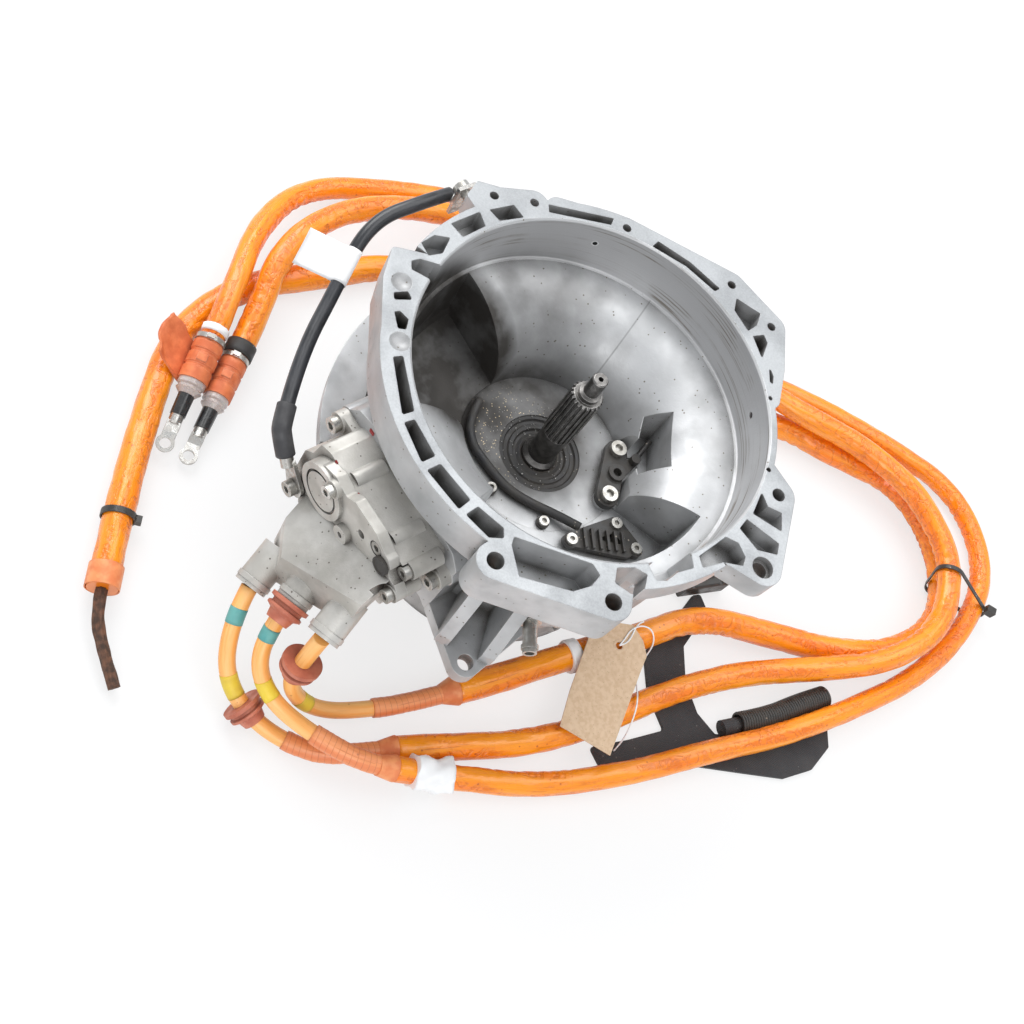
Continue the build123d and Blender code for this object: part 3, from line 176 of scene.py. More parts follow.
def neighbours(items, i):
    """What comes before and after number i, which at an end is the item itself."""
    return items[max(i - 1, 0)], items[min(i + 1, len(items) - 1)]


def on_circle(turn):
    return math.cos(turn * TURN), math.sin(turn * TURN)


def wander(*place):
    return noise.noise(Vector(place))


core_paths = [read_path("line", route, 14) for route in CORE_ROUTES]
sleeve_paths = [read_path("line", route, 26) for route in SLEEVE_ROUTES]
torn_path = read_path("line", TORN_ROUTE, 24)
ground_path = read_path("line", GROUND_ROUTE, 16)
loom_path = read_path("line", LOOM_ROUTE, 12)
print("sleeve lengths", [round(length_of(path), 3) for path in sleeve_paths])

# %% [markdown]
# ## Tubes that follow a path
# A plain bevelled curve gives a perfect tube, but the real sleeves are dented, creased and
# flattened. So the tube is made as a mesh: a frame is carried along the path without twisting, and
# each ring of points asks a small function for its radius. The UV map holds the distance along the
# cable and the turn round it, so that a material can follow the cable.

# %% Skin a path
def carried_frames(path):
    """Direction and two side vectors at each point, turned as little as possible from the last."""
    frames = []
    side = None
    for i, point in enumerate(path):
        before, after = neighbours(path, i)
        ahead = (after - before).normalized()
        if side is None:
            side = ahead.cross(Vector((0, 0, 1))).normalized()
        side = (side - ahead * side.dot(ahead)).normalized()
        frames.append((point, ahead, side, side.cross(ahead)))
    return frames


def skin(name, path, radius, sides=32):
    """A closed tube whose radius at each place comes from radius(distance, turn, outward, bend)."""
    mesh = bmesh.new()
    rings = []
    distances = distances_along(path)
    frames = carried_frames(path)
    for i, (point, ahead, side, over) in enumerate(frames):
        before, after = neighbours(frames, i)
        bend = (after[1] - before[1]) / max((after[0] - before[0]).length, 1e-6)
        ring = []
        for k in range(sides):
            x, y = on_circle(k / sides)
            outward = side * x + over * y
            ring.append(mesh.verts.new(point + outward * radius(distances[i], k / sides, outward, bend)))
        rings.append(ring)
    layer = mesh.loops.layers.uv.new("along")
    for i in range(len(rings) - 1):
        for k in range(sides):
            after = (k + 1) % sides
            face = mesh.faces.new((rings[i][k], rings[i][after], rings[i + 1][after], rings[i + 1][k]))
            face.smooth = True
            places = [(i, k), (i, k + 1), (i + 1, k + 1), (i + 1, k)]
            for loop, (row, column) in zip(face.loops, places):
                loop[layer].uv = (distances[row], column / sides)
    mesh.faces.new(rings[0])
    mesh.faces.new(rings[-1])
    bmesh.ops.recalc_face_normals(mesh, faces=mesh.faces)
    return mesh_piece(name, mesh)


def stretch(path, start, end):
    """The points of a path between two distances along it, in millimetres."""
    return [point for point, distance in zip(path, distances_along(path))
            if start * MM <= distance <= end * MM]


def round_tube(d):
    return lambda distance, turn, outward, bend: d / 2 * MM


RUCK_PITCH = 0.0115


def loose_sleeve(d, seed):
    """A soft sleeve over a core: long dents, fine creases and rucks on the inside of each bend."""
    def radius(distance, turn, outward, bend):
        ring = Vector((*on_circle(turn), seed))
        broad = wander(distance / 0.055, ring.x * 0.8, ring.y * 0.8 + seed)
        fine = wander(distance / 0.016, ring.x * 1.7 + seed, ring.y * 1.7)
        crease = max(0, 1 - 7 * abs(wander(distance / 0.05 + seed, ring.x, ring.y)))
        inside = max(0, outward.dot(bend)) / 5
        where = 0.25 + 0.75 * max(0, min(1, 0.5 + 1.6 * wander(distance / 0.085, seed, 3)))
        drift = wander(distance / 0.035, ring.x * 0.8, ring.y * 0.8 + seed)
        phase = distance / RUCK_PITCH + 1.3 * drift
        ruck = min(1, inside) * where * (0.5 + 0.5 * math.sin(phase * TURN)) ** 2
        inward = 0.05 * (0.5 + broad) + 0.03 * (0.5 + fine) + 0.04 * crease + 0.15 * ruck
        return d / 2 * MM * (1 - max(0, inward))
    return radius


cores = [skin("phase_core_%d" % (i + 1), path, round_tube(CORE_D), 28)
         for i, path in enumerate(core_paths)]
sleeves = [skin("sleeve_%d" % (i + 1), path, loose_sleeve(d, 3.7 * i + 1.3), 40)
           for i, (path, d) in enumerate(zip(sleeve_paths, SLEEVE_D))]
ground = skin("ground_lead", ground_path, round_tube(GROUND_D), 24)
loom = skin("bell_wires", loom_path, round_tube(LOOM_D), 16)
print("tube faces", [len(piece.data.polygons) for piece in cores + sleeves + [ground, loom]])

# %% [markdown]
# ## Nodes for materials
# Each finish is a Principled BSDF whose colour, roughness and bump come from a few shared groups:
# grain, edge wear, dirt with painted shade in corners, specks and the fine rings that a lathe
# leaves. A group is built once, with named inputs, and each material sets its own values.

# %% Small helpers for node trees
def put(tree, kind, inputs=None, **settings):
    """Adds a node, sets its properties, and links or sets its inputs."""
    made = tree.nodes.new(kind)
    for name, value in settings.items():
        setattr(made, name, value)
    for name, value in (inputs or {}).items():
        if isinstance(value, bpy.types.NodeSocket):
            tree.links.new(value, made.inputs[name])
        else:
            made.inputs[name].default_value = value
    return made


def calc(tree, operation, *values):
    made = put(tree, "ShaderNodeMath", dict(enumerate(values)), operation=operation)
    return made.outputs[0]


def product(tree, first, *others):
    for other in others:
        first = calc(tree, "MULTIPLY", first, other)
    return first


def noise_at(tree, place, scale, detail, distortion=0.0):
    made = put(tree, "ShaderNodeTexNoise",
               {"Vector": place, "Scale": scale, "Detail": detail, "Distortion": distortion})
    return made.outputs[0]


def parts_of(tree, vector):
    return put(tree, "ShaderNodeSeparateXYZ", {0: vector}).outputs


def vector_of(tree, *values):
    return put(tree, "ShaderNodeCombineXYZ", dict(enumerate(values))).outputs[0]


def vector_maths(tree, operation, first, second):
    return put(tree, "ShaderNodeVectorMath", {0: first, 1: second}, operation=operation).outputs


def smooth_range(tree, value, low, high, start=0.0, end=1.0):
    made = put(tree, "ShaderNodeMapRange",
               {"Value": value, "From Min": low, "From Max": high, "To Min": start, "To Max": end},
               interpolation_type="SMOOTHSTEP")
    return made.outputs["Result"]


def blend_colours(tree, share, first, second):
    made = put(tree, "ShaderNodeMix", {0: share, 6: first, 7: second}, data_type="RGBA")
    return made.outputs[2]


def bump_of(tree, height, strength, distance, under=None):
    """A bump from a height, laid over another normal if one is given."""
    over = {"Normal": under} if under else {}
    return put(tree, "ShaderNodeBump",
               {"Height": height, "Strength": strength, "Distance": distance, **over})


def new_group(name, inputs, outputs):
    """A shader group: inputs are (name, kind, default), outputs are (name, kind)."""
    tree = bpy.data.node_groups.new(name, "ShaderNodeTree")
    for label, kind, default in inputs:
        socket = tree.interface.new_socket(label, in_out="INPUT", socket_type=kind)
        if default is not None:
            socket.default_value = default
    for label, kind in outputs:
        tree.interface.new_socket(label, in_out="OUTPUT", socket_type=kind)
    source = tree.nodes.new("NodeGroupInput").outputs
    sink = tree.nodes.new("NodeGroupOutput").inputs
    return tree, source, sink


NUMBER, POINT = "NodeSocketFloat", "NodeSocketVector"
print("node helpers ready")

# %% Grain: cast, moulded or painted surface
grain, given, gives = new_group(
    "Grain", [("Place", POINT, None), ("Size", NUMBER, 60.0), ("Pits", NUMBER, 0.3)],
    [("Tone", NUMBER), ("Height", NUMBER)])
patches = noise_at(grain, given["Place"], given["Size"], 5)
fine = noise_at(grain, given["Place"], product(grain, given["Size"], 14), 3)
pits = put(grain, "ShaderNodeTexVoronoi",
           {"Vector": given["Place"], "Scale": product(grain, given["Size"], 18)})
deep = product(grain, smooth_range(grain, pits.outputs["Distance"], 0.0, 0.35, 1.0, 0.0), given["Pits"])
grain.links.new(smooth_range(grain, patches, 0.34, 0.66), gives["Tone"])
grain.links.new(calc(grain, "SUBTRACT", fine, deep), gives["Height"])

# %% Edge wear: where the surface turns sharply
wear, given, gives = new_group(
    "Edge wear", [("Place", POINT, None), ("Width", NUMBER, 0.0008), ("Gain", NUMBER, 6.0)],
    [("Mask", NUMBER), ("Normal", POINT)])
rounded = put(wear, "ShaderNodeBevel", {"Radius": given["Width"]}, samples=4)
flat = put(wear, "ShaderNodeNewGeometry")
likeness = vector_maths(wear, "DOT_PRODUCT", rounded.outputs[0], flat.outputs["Normal"])
turned_by = product(wear, calc(wear, "SUBTRACT", 1.0, likeness["Value"]), given["Gain"])
chips = noise_at(wear, given["Place"], 160.0, 4)
broken = product(wear, turned_by, smooth_range(wear, chips, 0.3, 0.6, 0.25, 1.0))
wear.links.new(calc(wear, "MINIMUM", broken, 1.0), gives["Mask"])
wear.links.new(rounded.outputs[0], gives["Normal"])

# %% Dirt and painted shade: shade painted into corners, and dirt in patches
dirt_and_shade, given, gives = new_group(
    "Dirt and corner shade", [("Place", POINT, None), ("Reach", NUMBER, 0.012), ("Amount", NUMBER, 0.6),
              ("Patch size", NUMBER, 25.0)],
    [("Mask", NUMBER)])
# Painted shade: the ambient-occlusion term darkens corners and recesses where shade falls; the noise patches
# are dirt
corner = put(dirt_and_shade, "ShaderNodeAmbientOcclusion", {"Distance": given["Reach"]}, samples=4)
cloud = noise_at(dirt_and_shade, given["Place"], given["Patch size"], 7)
corner_shade = smooth_range(dirt_and_shade, corner.outputs["AO"], 0.85, 0.3)
patchy = smooth_range(dirt_and_shade, cloud, 0.42, 0.7)
total = calc(dirt_and_shade, "ADD", product(dirt_and_shade, corner_shade, smooth_range(dirt_and_shade, cloud, 0.25, 0.55)),
             product(dirt_and_shade, patchy, 0.35))
dirt_and_shade.links.new(calc(dirt_and_shade, "MINIMUM", product(dirt_and_shade, total, given["Amount"]), 1.0), gives["Mask"])

# %% Specks: small grains of dirt and metal
specks, given, gives = new_group(
    "Specks", [("Place", POINT, None), ("Size", NUMBER, 500.0), ("Share", NUMBER, 0.1)],
    [("Mask", NUMBER)])
cells = put(specks, "ShaderNodeTexVoronoi", {"Vector": given["Place"], "Scale": given["Size"]})
drawn = put(specks, "ShaderNodeSeparateColor", {"Color": cells.outputs["Color"]}).outputs[0]
chosen = calc(specks, "LESS_THAN", drawn, given["Share"])
dot = smooth_range(specks, cells.outputs["Distance"], 0.22, 0.34, 1.0, 0.0)
specks.links.new(product(specks, chosen, dot), gives["Mask"])

# %% Lathe rings: fine circles about the shaft's axis
rings, given, gives = new_group(
    "Lathe rings", [("Place", POINT, None), ("Pitch", NUMBER, 0.0012)],
    [("Height", NUMBER), ("Radius", NUMBER)])
parted = parts_of(rings, given["Place"])
flat_place = vector_of(rings, parted[0], parted[1])
radius = put(rings, "ShaderNodeVectorMath", {0: flat_place}, operation="LENGTH").outputs["Value"]
travel = calc(rings, "ADD", radius, parted[2])
lines = noise_at(rings, vector_of(rings, calc(rings, "DIVIDE", travel, given["Pitch"])), 1.0, 4)
rings.links.new(lines, gives["Height"])
rings.links.new(radius, gives["Radius"])
print("groups:", [tree.name for tree in bpy.data.node_groups])

# %% [markdown]
# ## One recipe for a worn surface
# Most of the finishes differ only in their colours, shine and amount of dirt and painted corner
# shade, so one function lays out the nodes and each finish is a line of values. The function returns
# what it made, so that a finish with something special, such as the machined bore, can go on from there.

# %% The recipe
def colour(r, g, b):
    return (r, g, b, 1.0)


def use(tree, group, **inputs):
    """Places a shared group and sets or links its inputs; an underscore stands for a space."""
    named = {name.replace("_", " "): value for name, value in inputs.items()}
    return put(tree, "ShaderNodeGroup", named, node_tree=group)


def blank_material(name):
    material = bpy.data.materials.new(name)
    material.use_nodes = True
    return material, material.node_tree, material.node_tree.nodes["Principled BSDF"]


def connect(tree, shader, base, rough, relief):
    for socket, name in ((base, "Base Color"), (rough, "Roughness"), (relief.outputs[0], "Normal")):
        tree.links.new(socket, shader.inputs[name])


def paint(piece, finish):
    """Gives a piece one of the finishes, by its name in the table."""
    piece.data.materials.clear()
    piece.data.materials.append(finishes[finish]["material"])
    return piece


def worn(name, light, dark, metal=0.0, shine=(0.35, 0.55), size=60.0, pits=0.3, bump=0.15, depth=0.0004,
         edge=None, edge_gain=5.0, edge_width=0.0007, dirt_and_shade_colour=(0.08, 0.07, 0.06), overlay_amount=0.5, reach=0.012,
         specks_of=None, speck_size=450.0, speck_share=0.06, coat=0.0):
    """A used surface: two tones, shine, bump, bright or pale edges, dirt and painted shade in corners, and
    specks.
    """
    material, tree, shader = blank_material(name)
    place = put(tree, "ShaderNodeTexCoord").outputs["Object"]
    texture = use(tree, grain, Place=place, Size=size, Pits=pits)
    edges = use(tree, wear, Place=place, Width=edge_width, Gain=edge_gain if edge else 0.0)
    soil_and_shade = use(tree, dirt_and_shade, Place=place, Amount=overlay_amount, Reach=reach)
    base = blend_colours(tree, texture.outputs["Tone"], colour(*light), colour(*dark))
    if edge:
        base = blend_colours(tree, edges.outputs["Mask"], base, colour(*edge))
    # Painted shade and dirt: the corner mask lays the dirt colour into corners and recesses where shade
    # falls, and in patches of dirt
    base = blend_colours(tree, soil_and_shade.outputs["Mask"], base, colour(*dirt_and_shade_colour))
    if specks_of:
        grains = use(tree, specks, Place=place, Size=speck_size, Share=speck_share)
        base = blend_colours(tree, grains.outputs["Mask"], base, colour(*specks_of))
    rough = smooth_range(tree, texture.outputs["Tone"], 0.0, 1.0, *shine)
    rough = calc(tree, "ADD", rough, product(tree, soil_and_shade.outputs["Mask"], 0.3))
    relief = bump_of(tree, texture.outputs["Height"], bump, depth, edges.outputs["Normal"])
    connect(tree, shader, base, rough, relief)
    shader.inputs["Metallic"].default_value = metal
    shader.inputs["Coat Weight"].default_value = coat
    shader.inputs["Coat Roughness"].default_value = 0.2
    return {"material": material, "tree": tree, "shader": shader, "place": place,
            "base": base, "rough": rough, "relief": relief}


finishes = {
    "blasted": worn("blasted casting", (0.66, 0.64, 0.60), (0.52, 0.50, 0.46), 0.55, (0.42, 0.55), 45, 0.5,
                    0.35, edge=(0.86, 0.85, 0.82), overlay_amount=0.8, specks_of=(0.16, 0.14, 0.12), speck_share=0.05),
    "case": worn("case casting", (0.62, 0.62, 0.62), (0.48, 0.48, 0.48), 0.55, (0.4, 0.6), 40, 0.5, 0.4,
                 edge=(0.75, 0.74, 0.72), overlay_amount=0.9, specks_of=(0.12, 0.11, 0.10)),
    "zinc": worn("zinc plated steel", (0.62, 0.61, 0.58), (0.48, 0.46, 0.42), 0.9, (0.25, 0.4), 220, 0.1, 0.1,
                 edge=(0.85, 0.84, 0.82), edge_width=0.0004, overlay_amount=0.7, reach=0.003),
    "shaft": worn("oiled shaft steel", (0.26, 0.25, 0.24), (0.12, 0.115, 0.11), 0.9, (0.26, 0.4), 120, 0.2,
                  0.12, edge=(0.72, 0.70, 0.67), edge_gain=9, edge_width=0.0006, overlay_amount=0.6,
                  dirt_and_shade_colour=(0.03, 0.026, 0.02), reach=0.005),
    "laminated": worn("stacked sheets", (0.36, 0.36, 0.37), (0.25, 0.25, 0.26), 0.8, (0.35, 0.5), 90),
    "copper": worn("enamelled copper", (0.62, 0.28, 0.13), (0.42, 0.16, 0.07), 0.8, (0.25, 0.4), 90),
    "bearing": worn("ground steel", (0.68, 0.68, 0.67), (0.58, 0.58, 0.58), 1.0, (0.1, 0.2), 200, 0.0, 0.03),
    "brass": worn("cage brass", (0.60, 0.42, 0.17), (0.48, 0.32, 0.12), 1.0, (0.25, 0.35), 150),
    "rubber": worn("black rubber", (0.028, 0.028, 0.03), (0.045, 0.043, 0.04), 0.0, (0.45, 0.65), 130, 0.2,
                   0.2, dirt_and_shade_colour=(0.12, 0.10, 0.08), specks_of=(0.25, 0.22, 0.18), speck_share=0.03),
    "plastic": worn("black plastic", (0.030, 0.029, 0.028), (0.048, 0.043, 0.038), 0.0, (0.3, 0.5), 150, 0.2,
                    0.15, edge=(0.11, 0.10, 0.095), dirt_and_shade_colour=(0.09, 0.08, 0.065), overlay_amount=0.4,
                    specks_of=(0.35, 0.30, 0.24), speck_share=0.04),
    "shrink": worn("glossy shrink sleeve", (0.018, 0.018, 0.02), (0.03, 0.03, 0.03), 0.0, (0.15, 0.3), 90,
                   0.0, 0.08, overlay_amount=0.2, coat=0.4),
    "grommet": worn("red rubber", (0.62, 0.20, 0.12), (0.48, 0.13, 0.075), 0.0, (0.4, 0.6), 90, 0.2, 0.2,
                    edge=(0.62, 0.24, 0.16), dirt_and_shade_colour=(0.14, 0.06, 0.04), overlay_amount=0.6, reach=0.006),
    "plug": worn("orange plug", (0.82, 0.23, 0.085), (0.66, 0.15, 0.05), 0.0, (0.4, 0.58), 110, 0.3, 0.25,
                 edge=(0.90, 0.45, 0.28), dirt_and_shade_colour=(0.20, 0.05, 0.02), overlay_amount=0.6, reach=0.006),
    "tinned": worn("tinned copper", (0.66, 0.65, 0.62), (0.50, 0.48, 0.45), 0.95, (0.2, 0.38), 260, 0.1, 0.12,
                   edge=(0.88, 0.87, 0.85), edge_width=0.0004, overlay_amount=0.6, reach=0.004),
    "jacket": worn("black jacket", (0.018, 0.020, 0.024), (0.034, 0.036, 0.042), 0.0, (0.3, 0.45), 50, 0.0,
                   0.1, overlay_amount=0.2, coat=0.2),
    "torn": worn("burnt strands", (0.17, 0.07, 0.035), (0.06, 0.035, 0.025), 0.1, (0.5, 0.8), 180, 0.6, 0.7,
                 edge=(0.55, 0.30, 0.16), overlay_amount=0.6, reach=0.004),
    "paper": worn("white paper", (0.96, 0.96, 0.96), (0.90, 0.90, 0.90), 0.0, (0.7, 0.9), 90, 0.0, 0.15,
                  dirt_and_shade_colour=(0.6, 0.55, 0.5), overlay_amount=0.15, reach=0.003),
    "card": worn("plain card", (0.76, 0.56, 0.38), (0.68, 0.48, 0.31), 0.0, (0.75, 0.9), 260, 0.1, 0.25,
                 edge=(0.84, 0.68, 0.52), dirt_and_shade_colour=(0.4, 0.26, 0.16), overlay_amount=0.2, specks_of=(0.5, 0.34, 0.21),
                 speck_size=900, speck_share=0.08),
    "teal": worn("teal band", (0.10, 0.38, 0.37), (0.16, 0.46, 0.43), 0.0, (0.4, 0.5), 80, overlay_amount=0.3),
    "yellow": worn("yellow band", (0.90, 0.66, 0.05), (0.80, 0.56, 0.06), 0.0, (0.4, 0.5), 80, overlay_amount=0.3),
    "shrunk": worn("grey shrink sleeve", (0.060, 0.060, 0.064), (0.040, 0.040, 0.044), 0.0, (0.4, 0.55), 90,
                   0.1, 0.15, overlay_amount=0.3, reach=0.004),
    "red": worn("red gasket", (0.45, 0.03, 0.03), (0.3, 0.02, 0.02), 0.0, (0.4, 0.5), 80, overlay_amount=0.3),
    "tape": worn("orange tape on solids", (0.90, 0.34, 0.13), (0.78, 0.22, 0.075), 0.0, (0.4, 0.55), 120, 0.1,
                 0.3, dirt_and_shade_colour=(0.3, 0.07, 0.02), overlay_amount=0.6),
}
print("finishes:", len(finishes))

# %% [markdown]
# ## The bell's casting and its machined faces
# One casting shows three finishes: a fine die-cast skin, the flange face and bore that were turned
# on a lathe, and the oily dirt that clutch dust leaves round the shaft, with painted shade laid over
# it in the recess and on the bowl's left side. Masks worked out from the place in the casting
# choose between them, so no part needs splitting.

# %% Bell material
FLANGE_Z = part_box("bell_housing")[1].z
BORE_R = 0.135
BORE_FOOT = 0.1795
PARTING = math.radians(114)
PAINTED_HOLE = (-0.1044, 0.0856, 0.2059)
bell = worn("bell casting", (0.60, 0.605, 0.61), (0.50, 0.505, 0.51), 0.5, (0.36, 0.5), 30, 0.35, 0.25,
            edge=(0.88, 0.88, 0.87), edge_width=0.0009, overlay_amount=0.75, reach=0.014,
            specks_of=(0.20, 0.18, 0.15), speck_size=420, speck_share=0.045)
tree, place = bell["tree"], bell["place"]


def zone(centre, inner, outer):
    """1 inside the inner radius of a ball, fading to 0 at the outer one."""
    away = vector_maths(tree, "DISTANCE", place, centre)["Value"]
    return smooth_range(tree, away, inner, outer, 1.0, 0.0)


# Which surface: the flange's face, the bore's wall, or anything inside the bell
turned = use(tree, rings, Place=place, Pitch=0.00045)
height = parts_of(tree, place)[2]
facing = parts_of(tree, put(tree, "ShaderNodeNewGeometry").outputs["Normal"])[2]
on_face = product(tree, calc(tree, "GREATER_THAN", height, FLANGE_Z - 0.0006),
                  calc(tree, "GREATER_THAN", facing, 0.9))
in_bore = product(tree, calc(tree, "LESS_THAN", turned.outputs["Radius"], BORE_R + 0.0005),
                  calc(tree, "GREATER_THAN", height, BORE_FOOT))
machined = calc(tree, "MAXIMUM", on_face, in_bore)
inside_only = calc(tree, "LESS_THAN", turned.outputs["Radius"], BORE_R + 0.004)

# Oily dirt round the shaft, oily dirt with painted shade in the recess and left of it, and the parting line
# of the casting
cloud = noise_at(tree, place, 46.0, 10, 0.1)
# Painted shade mixed with oily dirt: the two zones away from the hub darken the recess and the bowl's left
# side, where shade falls; the zone at the hub is oily dirt
oil_and_shade_zones = product(tree, zone((-0.105, 0.04, 0.14), 0.02, 0.08), 0.7)
oil_and_shade_zones = calc(tree, "MAXIMUM", product(tree, zone((-0.098, -0.058, 0.14), 0.062, 0.090), 1.1), oil_and_shade_zones)
oil_and_shade_zones = calc(tree, "MAXIMUM", product(tree, zone((-0.022, 0.0, 0.112), 0.040, 0.078), 0.95), oil_and_shade_zones)
stain_and_shade = product(tree, oil_and_shade_zones, inside_only, smooth_range(tree, cloud, 0.25, 0.7, 0.74, 1.0))
across = (math.sin(PARTING), -math.cos(PARTING), 0)
outward = (math.cos(PARTING), math.sin(PARTING), 0)
beside = calc(tree, "ABSOLUTE", vector_maths(tree, "DOT_PRODUCT", place, across)["Value"])
beyond = vector_maths(tree, "DOT_PRODUCT", place, outward)["Value"]
seam = product(tree, smooth_range(tree, beside, 0.0003, 0.0009, 0.36, 0.0),
               product(tree, calc(tree, "GREATER_THAN", beyond, 0.07), inside_only),
               calc(tree, "LESS_THAN", height, BORE_FOOT))
stain_and_shade = calc(tree, "MINIMUM", calc(tree, "MAXIMUM", stain_and_shade, seam), 1.0)
swarf = use(tree, specks, Place=place, Size=620.0, Share=0.22)
gold = product(tree, zone((-0.02, -0.012, 0.115), 0.02, 0.05), swarf.outputs["Mask"])

# Metal of the face and the bore
lathe_shade = smooth_range(tree, turned.outputs["Height"], 0.35, 0.65)
bright = blend_colours(tree, lathe_shade, colour(0.60, 0.60, 0.605), colour(0.52, 0.52, 0.525))
blotches = noise_at(tree, place, 26.0, 9)
skin_grain = noise_at(tree, place, 900.0, 2)
face_tone = calc(tree, "ADD", product(tree, smooth_range(tree, blotches, 0.4, 0.66), 0.7),
                 product(tree, smooth_range(tree, skin_grain, 0.35, 0.65), 0.3))
face_metal = blend_colours(tree, face_tone, colour(0.46, 0.475, 0.485), colour(0.33, 0.34, 0.35))
streaks = noise_at(tree, vector_maths(tree, "MULTIPLY", place, (9.0, 9.0, 420.0))[0], 1.0, 6)
brown = product(tree, smooth_range(tree, streaks, 0.52, 0.68),
                smooth_range(tree, blotches, 0.42, 0.6, 0.1, 0.9))
bore_metal = blend_colours(tree, brown, bright, colour(0.20, 0.165, 0.13))
base = bell["base"]
# Painted hole in the bore wall: a black disc for the shade inside it, and a white ring for a painted
# highlight on its rim
for mask, tone in [(in_bore, bore_metal), (on_face, face_metal), (stain_and_shade, colour(0.062, 0.057, 0.052)),
                   (gold, colour(0.75, 0.62, 0.42)), (zone(PAINTED_HOLE, 0.0026, 0.0032), colour(0.8, 0.8, 0.8)),
                   (zone(PAINTED_HOLE, 0.0017, 0.0022), colour(0.01, 0.01, 0.01))]:
    base = blend_colours(tree, mask, base, tone)
rough = calc(tree, "ADD", product(tree, calc(tree, "SUBTRACT", 1.0, machined), bell["rough"]),
             product(tree, machined, smooth_range(tree, face_tone, 0.0, 1.0, 0.40, 0.52)))
rough = calc(tree, "ADD", rough, product(tree, stain_and_shade, 0.15))
ring_relief = bump_of(tree, product(tree, turned.outputs["Height"], in_bore), 0.2, 0.00015,
                      bell["relief"].outputs[0])
connect(tree, bell["shader"], base, rough, ring_relief)
finishes["bell"] = bell
print("bell material has", len(tree.nodes), "nodes")

# %% [markdown]
# ## Finishes that follow the cable
# The sleeves, cores and wound tape are drawn in the cable's own map, where one direction
# runs along the cable and the other round it. Scuffs and dirt then stretch along the cable.

# %% Cable finishes
def cable_finish(name, light, dark, shine, coat, dirt_and_shade_colour, overlay_amount, stretch_by=9.0, wound=None, depth=0.0006,
                 folds=0.0):
    """A jacket with scuffs along it, turns of tape with painted shade at each lap if wound gives a width, and
    creases across it with painted shade in them.
    """
    material, tree, shader = blank_material(name)
    coords = put(tree, "ShaderNodeTexCoord")
    place = coords.outputs["Object"]
    parts = parts_of(tree, coords.outputs["UV"])
    round_it = product(tree, parts[1], TURN)
    sideways = [calc(tree, "COSINE", round_it), calc(tree, "SINE", round_it)]
    circle = vector_of(tree, product(tree, parts[0], stretch_by), *sideways)
    tones = noise_at(tree, circle, 1.6, 5)
    scuffs = noise_at(tree, circle, 6.5, 7, 0.8)
    fine = noise_at(tree, place, 420.0, 3)
    spots = use(tree, specks, Place=place, Size=300.0, Share=0.035)
    base = blend_colours(tree, smooth_range(tree, tones, 0.32, 0.68), colour(*light), colour(*dark))
    soiled_and_shaded = product(tree, smooth_range(tree, scuffs, 0.56, 0.78), overlay_amount)
    spotted = product(tree, spots.outputs["Mask"], min(1.0, overlay_amount * 1.2))
    height = calc(tree, "ADD", product(tree, scuffs, 0.6), product(tree, fine, 0.12))
    if wound:
        slanted = calc(tree, "ADD", calc(tree, "DIVIDE", parts[0], wound * MM), parts[1])
        lap = smooth_range(tree, calc(tree, "FRACT", slanted), 0.0, 0.16)
        height = calc(tree, "ADD", product(tree, lap, 0.8), height)
        # Painted shade: the step at the start of each lap of tape is darkened with the dirt colour
        soiled_and_shaded = calc(tree, "MAXIMUM", soiled_and_shaded, product(tree, calc(tree, "SUBTRACT", 1.0, lap), 0.55))
    if folds:
        across = vector_of(tree, product(tree, parts[0], 95.0),
                           *(product(tree, way, 0.9) for way in sideways))
        wave = noise_at(tree, across, 1.0, 2, 0.5)
        near_zero = calc(tree, "ABSOLUTE", calc(tree, "SUBTRACT", wave, 0.5))
        valley = smooth_range(tree, near_zero, 0.0, 0.085, 1.0, 0.0)
        clusters = smooth_range(tree, tones, 0.42, 0.6, 0.1, 1.0)
        creased = product(tree, valley, clusters, folds)
        height = calc(tree, "SUBTRACT", height, product(tree, creased, 2.6))
        # Painted shade: the creases are darkened with the dirt colour
        soiled_and_shaded = calc(tree, "MAXIMUM", soiled_and_shaded, product(tree, creased, 0.3))
    base = blend_colours(tree, calc(tree, "MAXIMUM", soiled_and_shaded, spotted), base, colour(*dirt_and_shade_colour))
    rough = smooth_range(tree, scuffs, 0.35, 0.75, *shine)
    relief = bump_of(tree, height, 0.5 if folds else 0.35, depth)
    connect(tree, shader, base, rough, relief)
    shader.inputs["Coat Weight"].default_value = coat
    shader.inputs["Coat Roughness"].default_value = 0.18
    return {"material": material}


finishes["sleeve"] = cable_finish("orange sleeve", (1.0, 0.335, 0.008), (0.96, 0.22, 0.006), (0.24, 0.44),
                                  0.4, (0.42, 0.06, 0.006), 0.55, folds=1.0)
finishes["core"] = cable_finish("orange core", (1.0, 0.55, 0.19), (0.98, 0.42, 0.09), (0.36, 0.52), 0.15,
                                (0.5, 0.2, 0.06), 0.4)
finishes["wound"] = cable_finish("orange tape", (0.90, 0.34, 0.13), (0.80, 0.23, 0.08), (0.36, 0.52), 0.15,
                                 (0.45, 0.12, 0.04), 0.5, wound=4.5, depth=0.001)
for piece in sleeves:
    paint(piece, "sleeve")
for piece in cores:
    paint(piece, "core")
print("cable finishes:", [finishes[name]["material"].name for name in ("sleeve", "core", "wound")])

# %% Milky seal
seal = worn("milky seal", (0.80, 0.72, 0.68), (0.70, 0.60, 0.56), 0.0, (0.15, 0.3), 120, 0.0, 0.1,
            dirt_and_shade_colour=(0.6, 0.2, 0.12), overlay_amount=0.4, reach=0.004, coat=0.5)
seal["shader"].inputs["Transmission Weight"].default_value = 0.35
seal["shader"].inputs["Subsurface Weight"].default_value = 0.2
seal["shader"].inputs["Subsurface Radius"].default_value = (0.004, 0.003, 0.002)
finishes["seal"] = seal

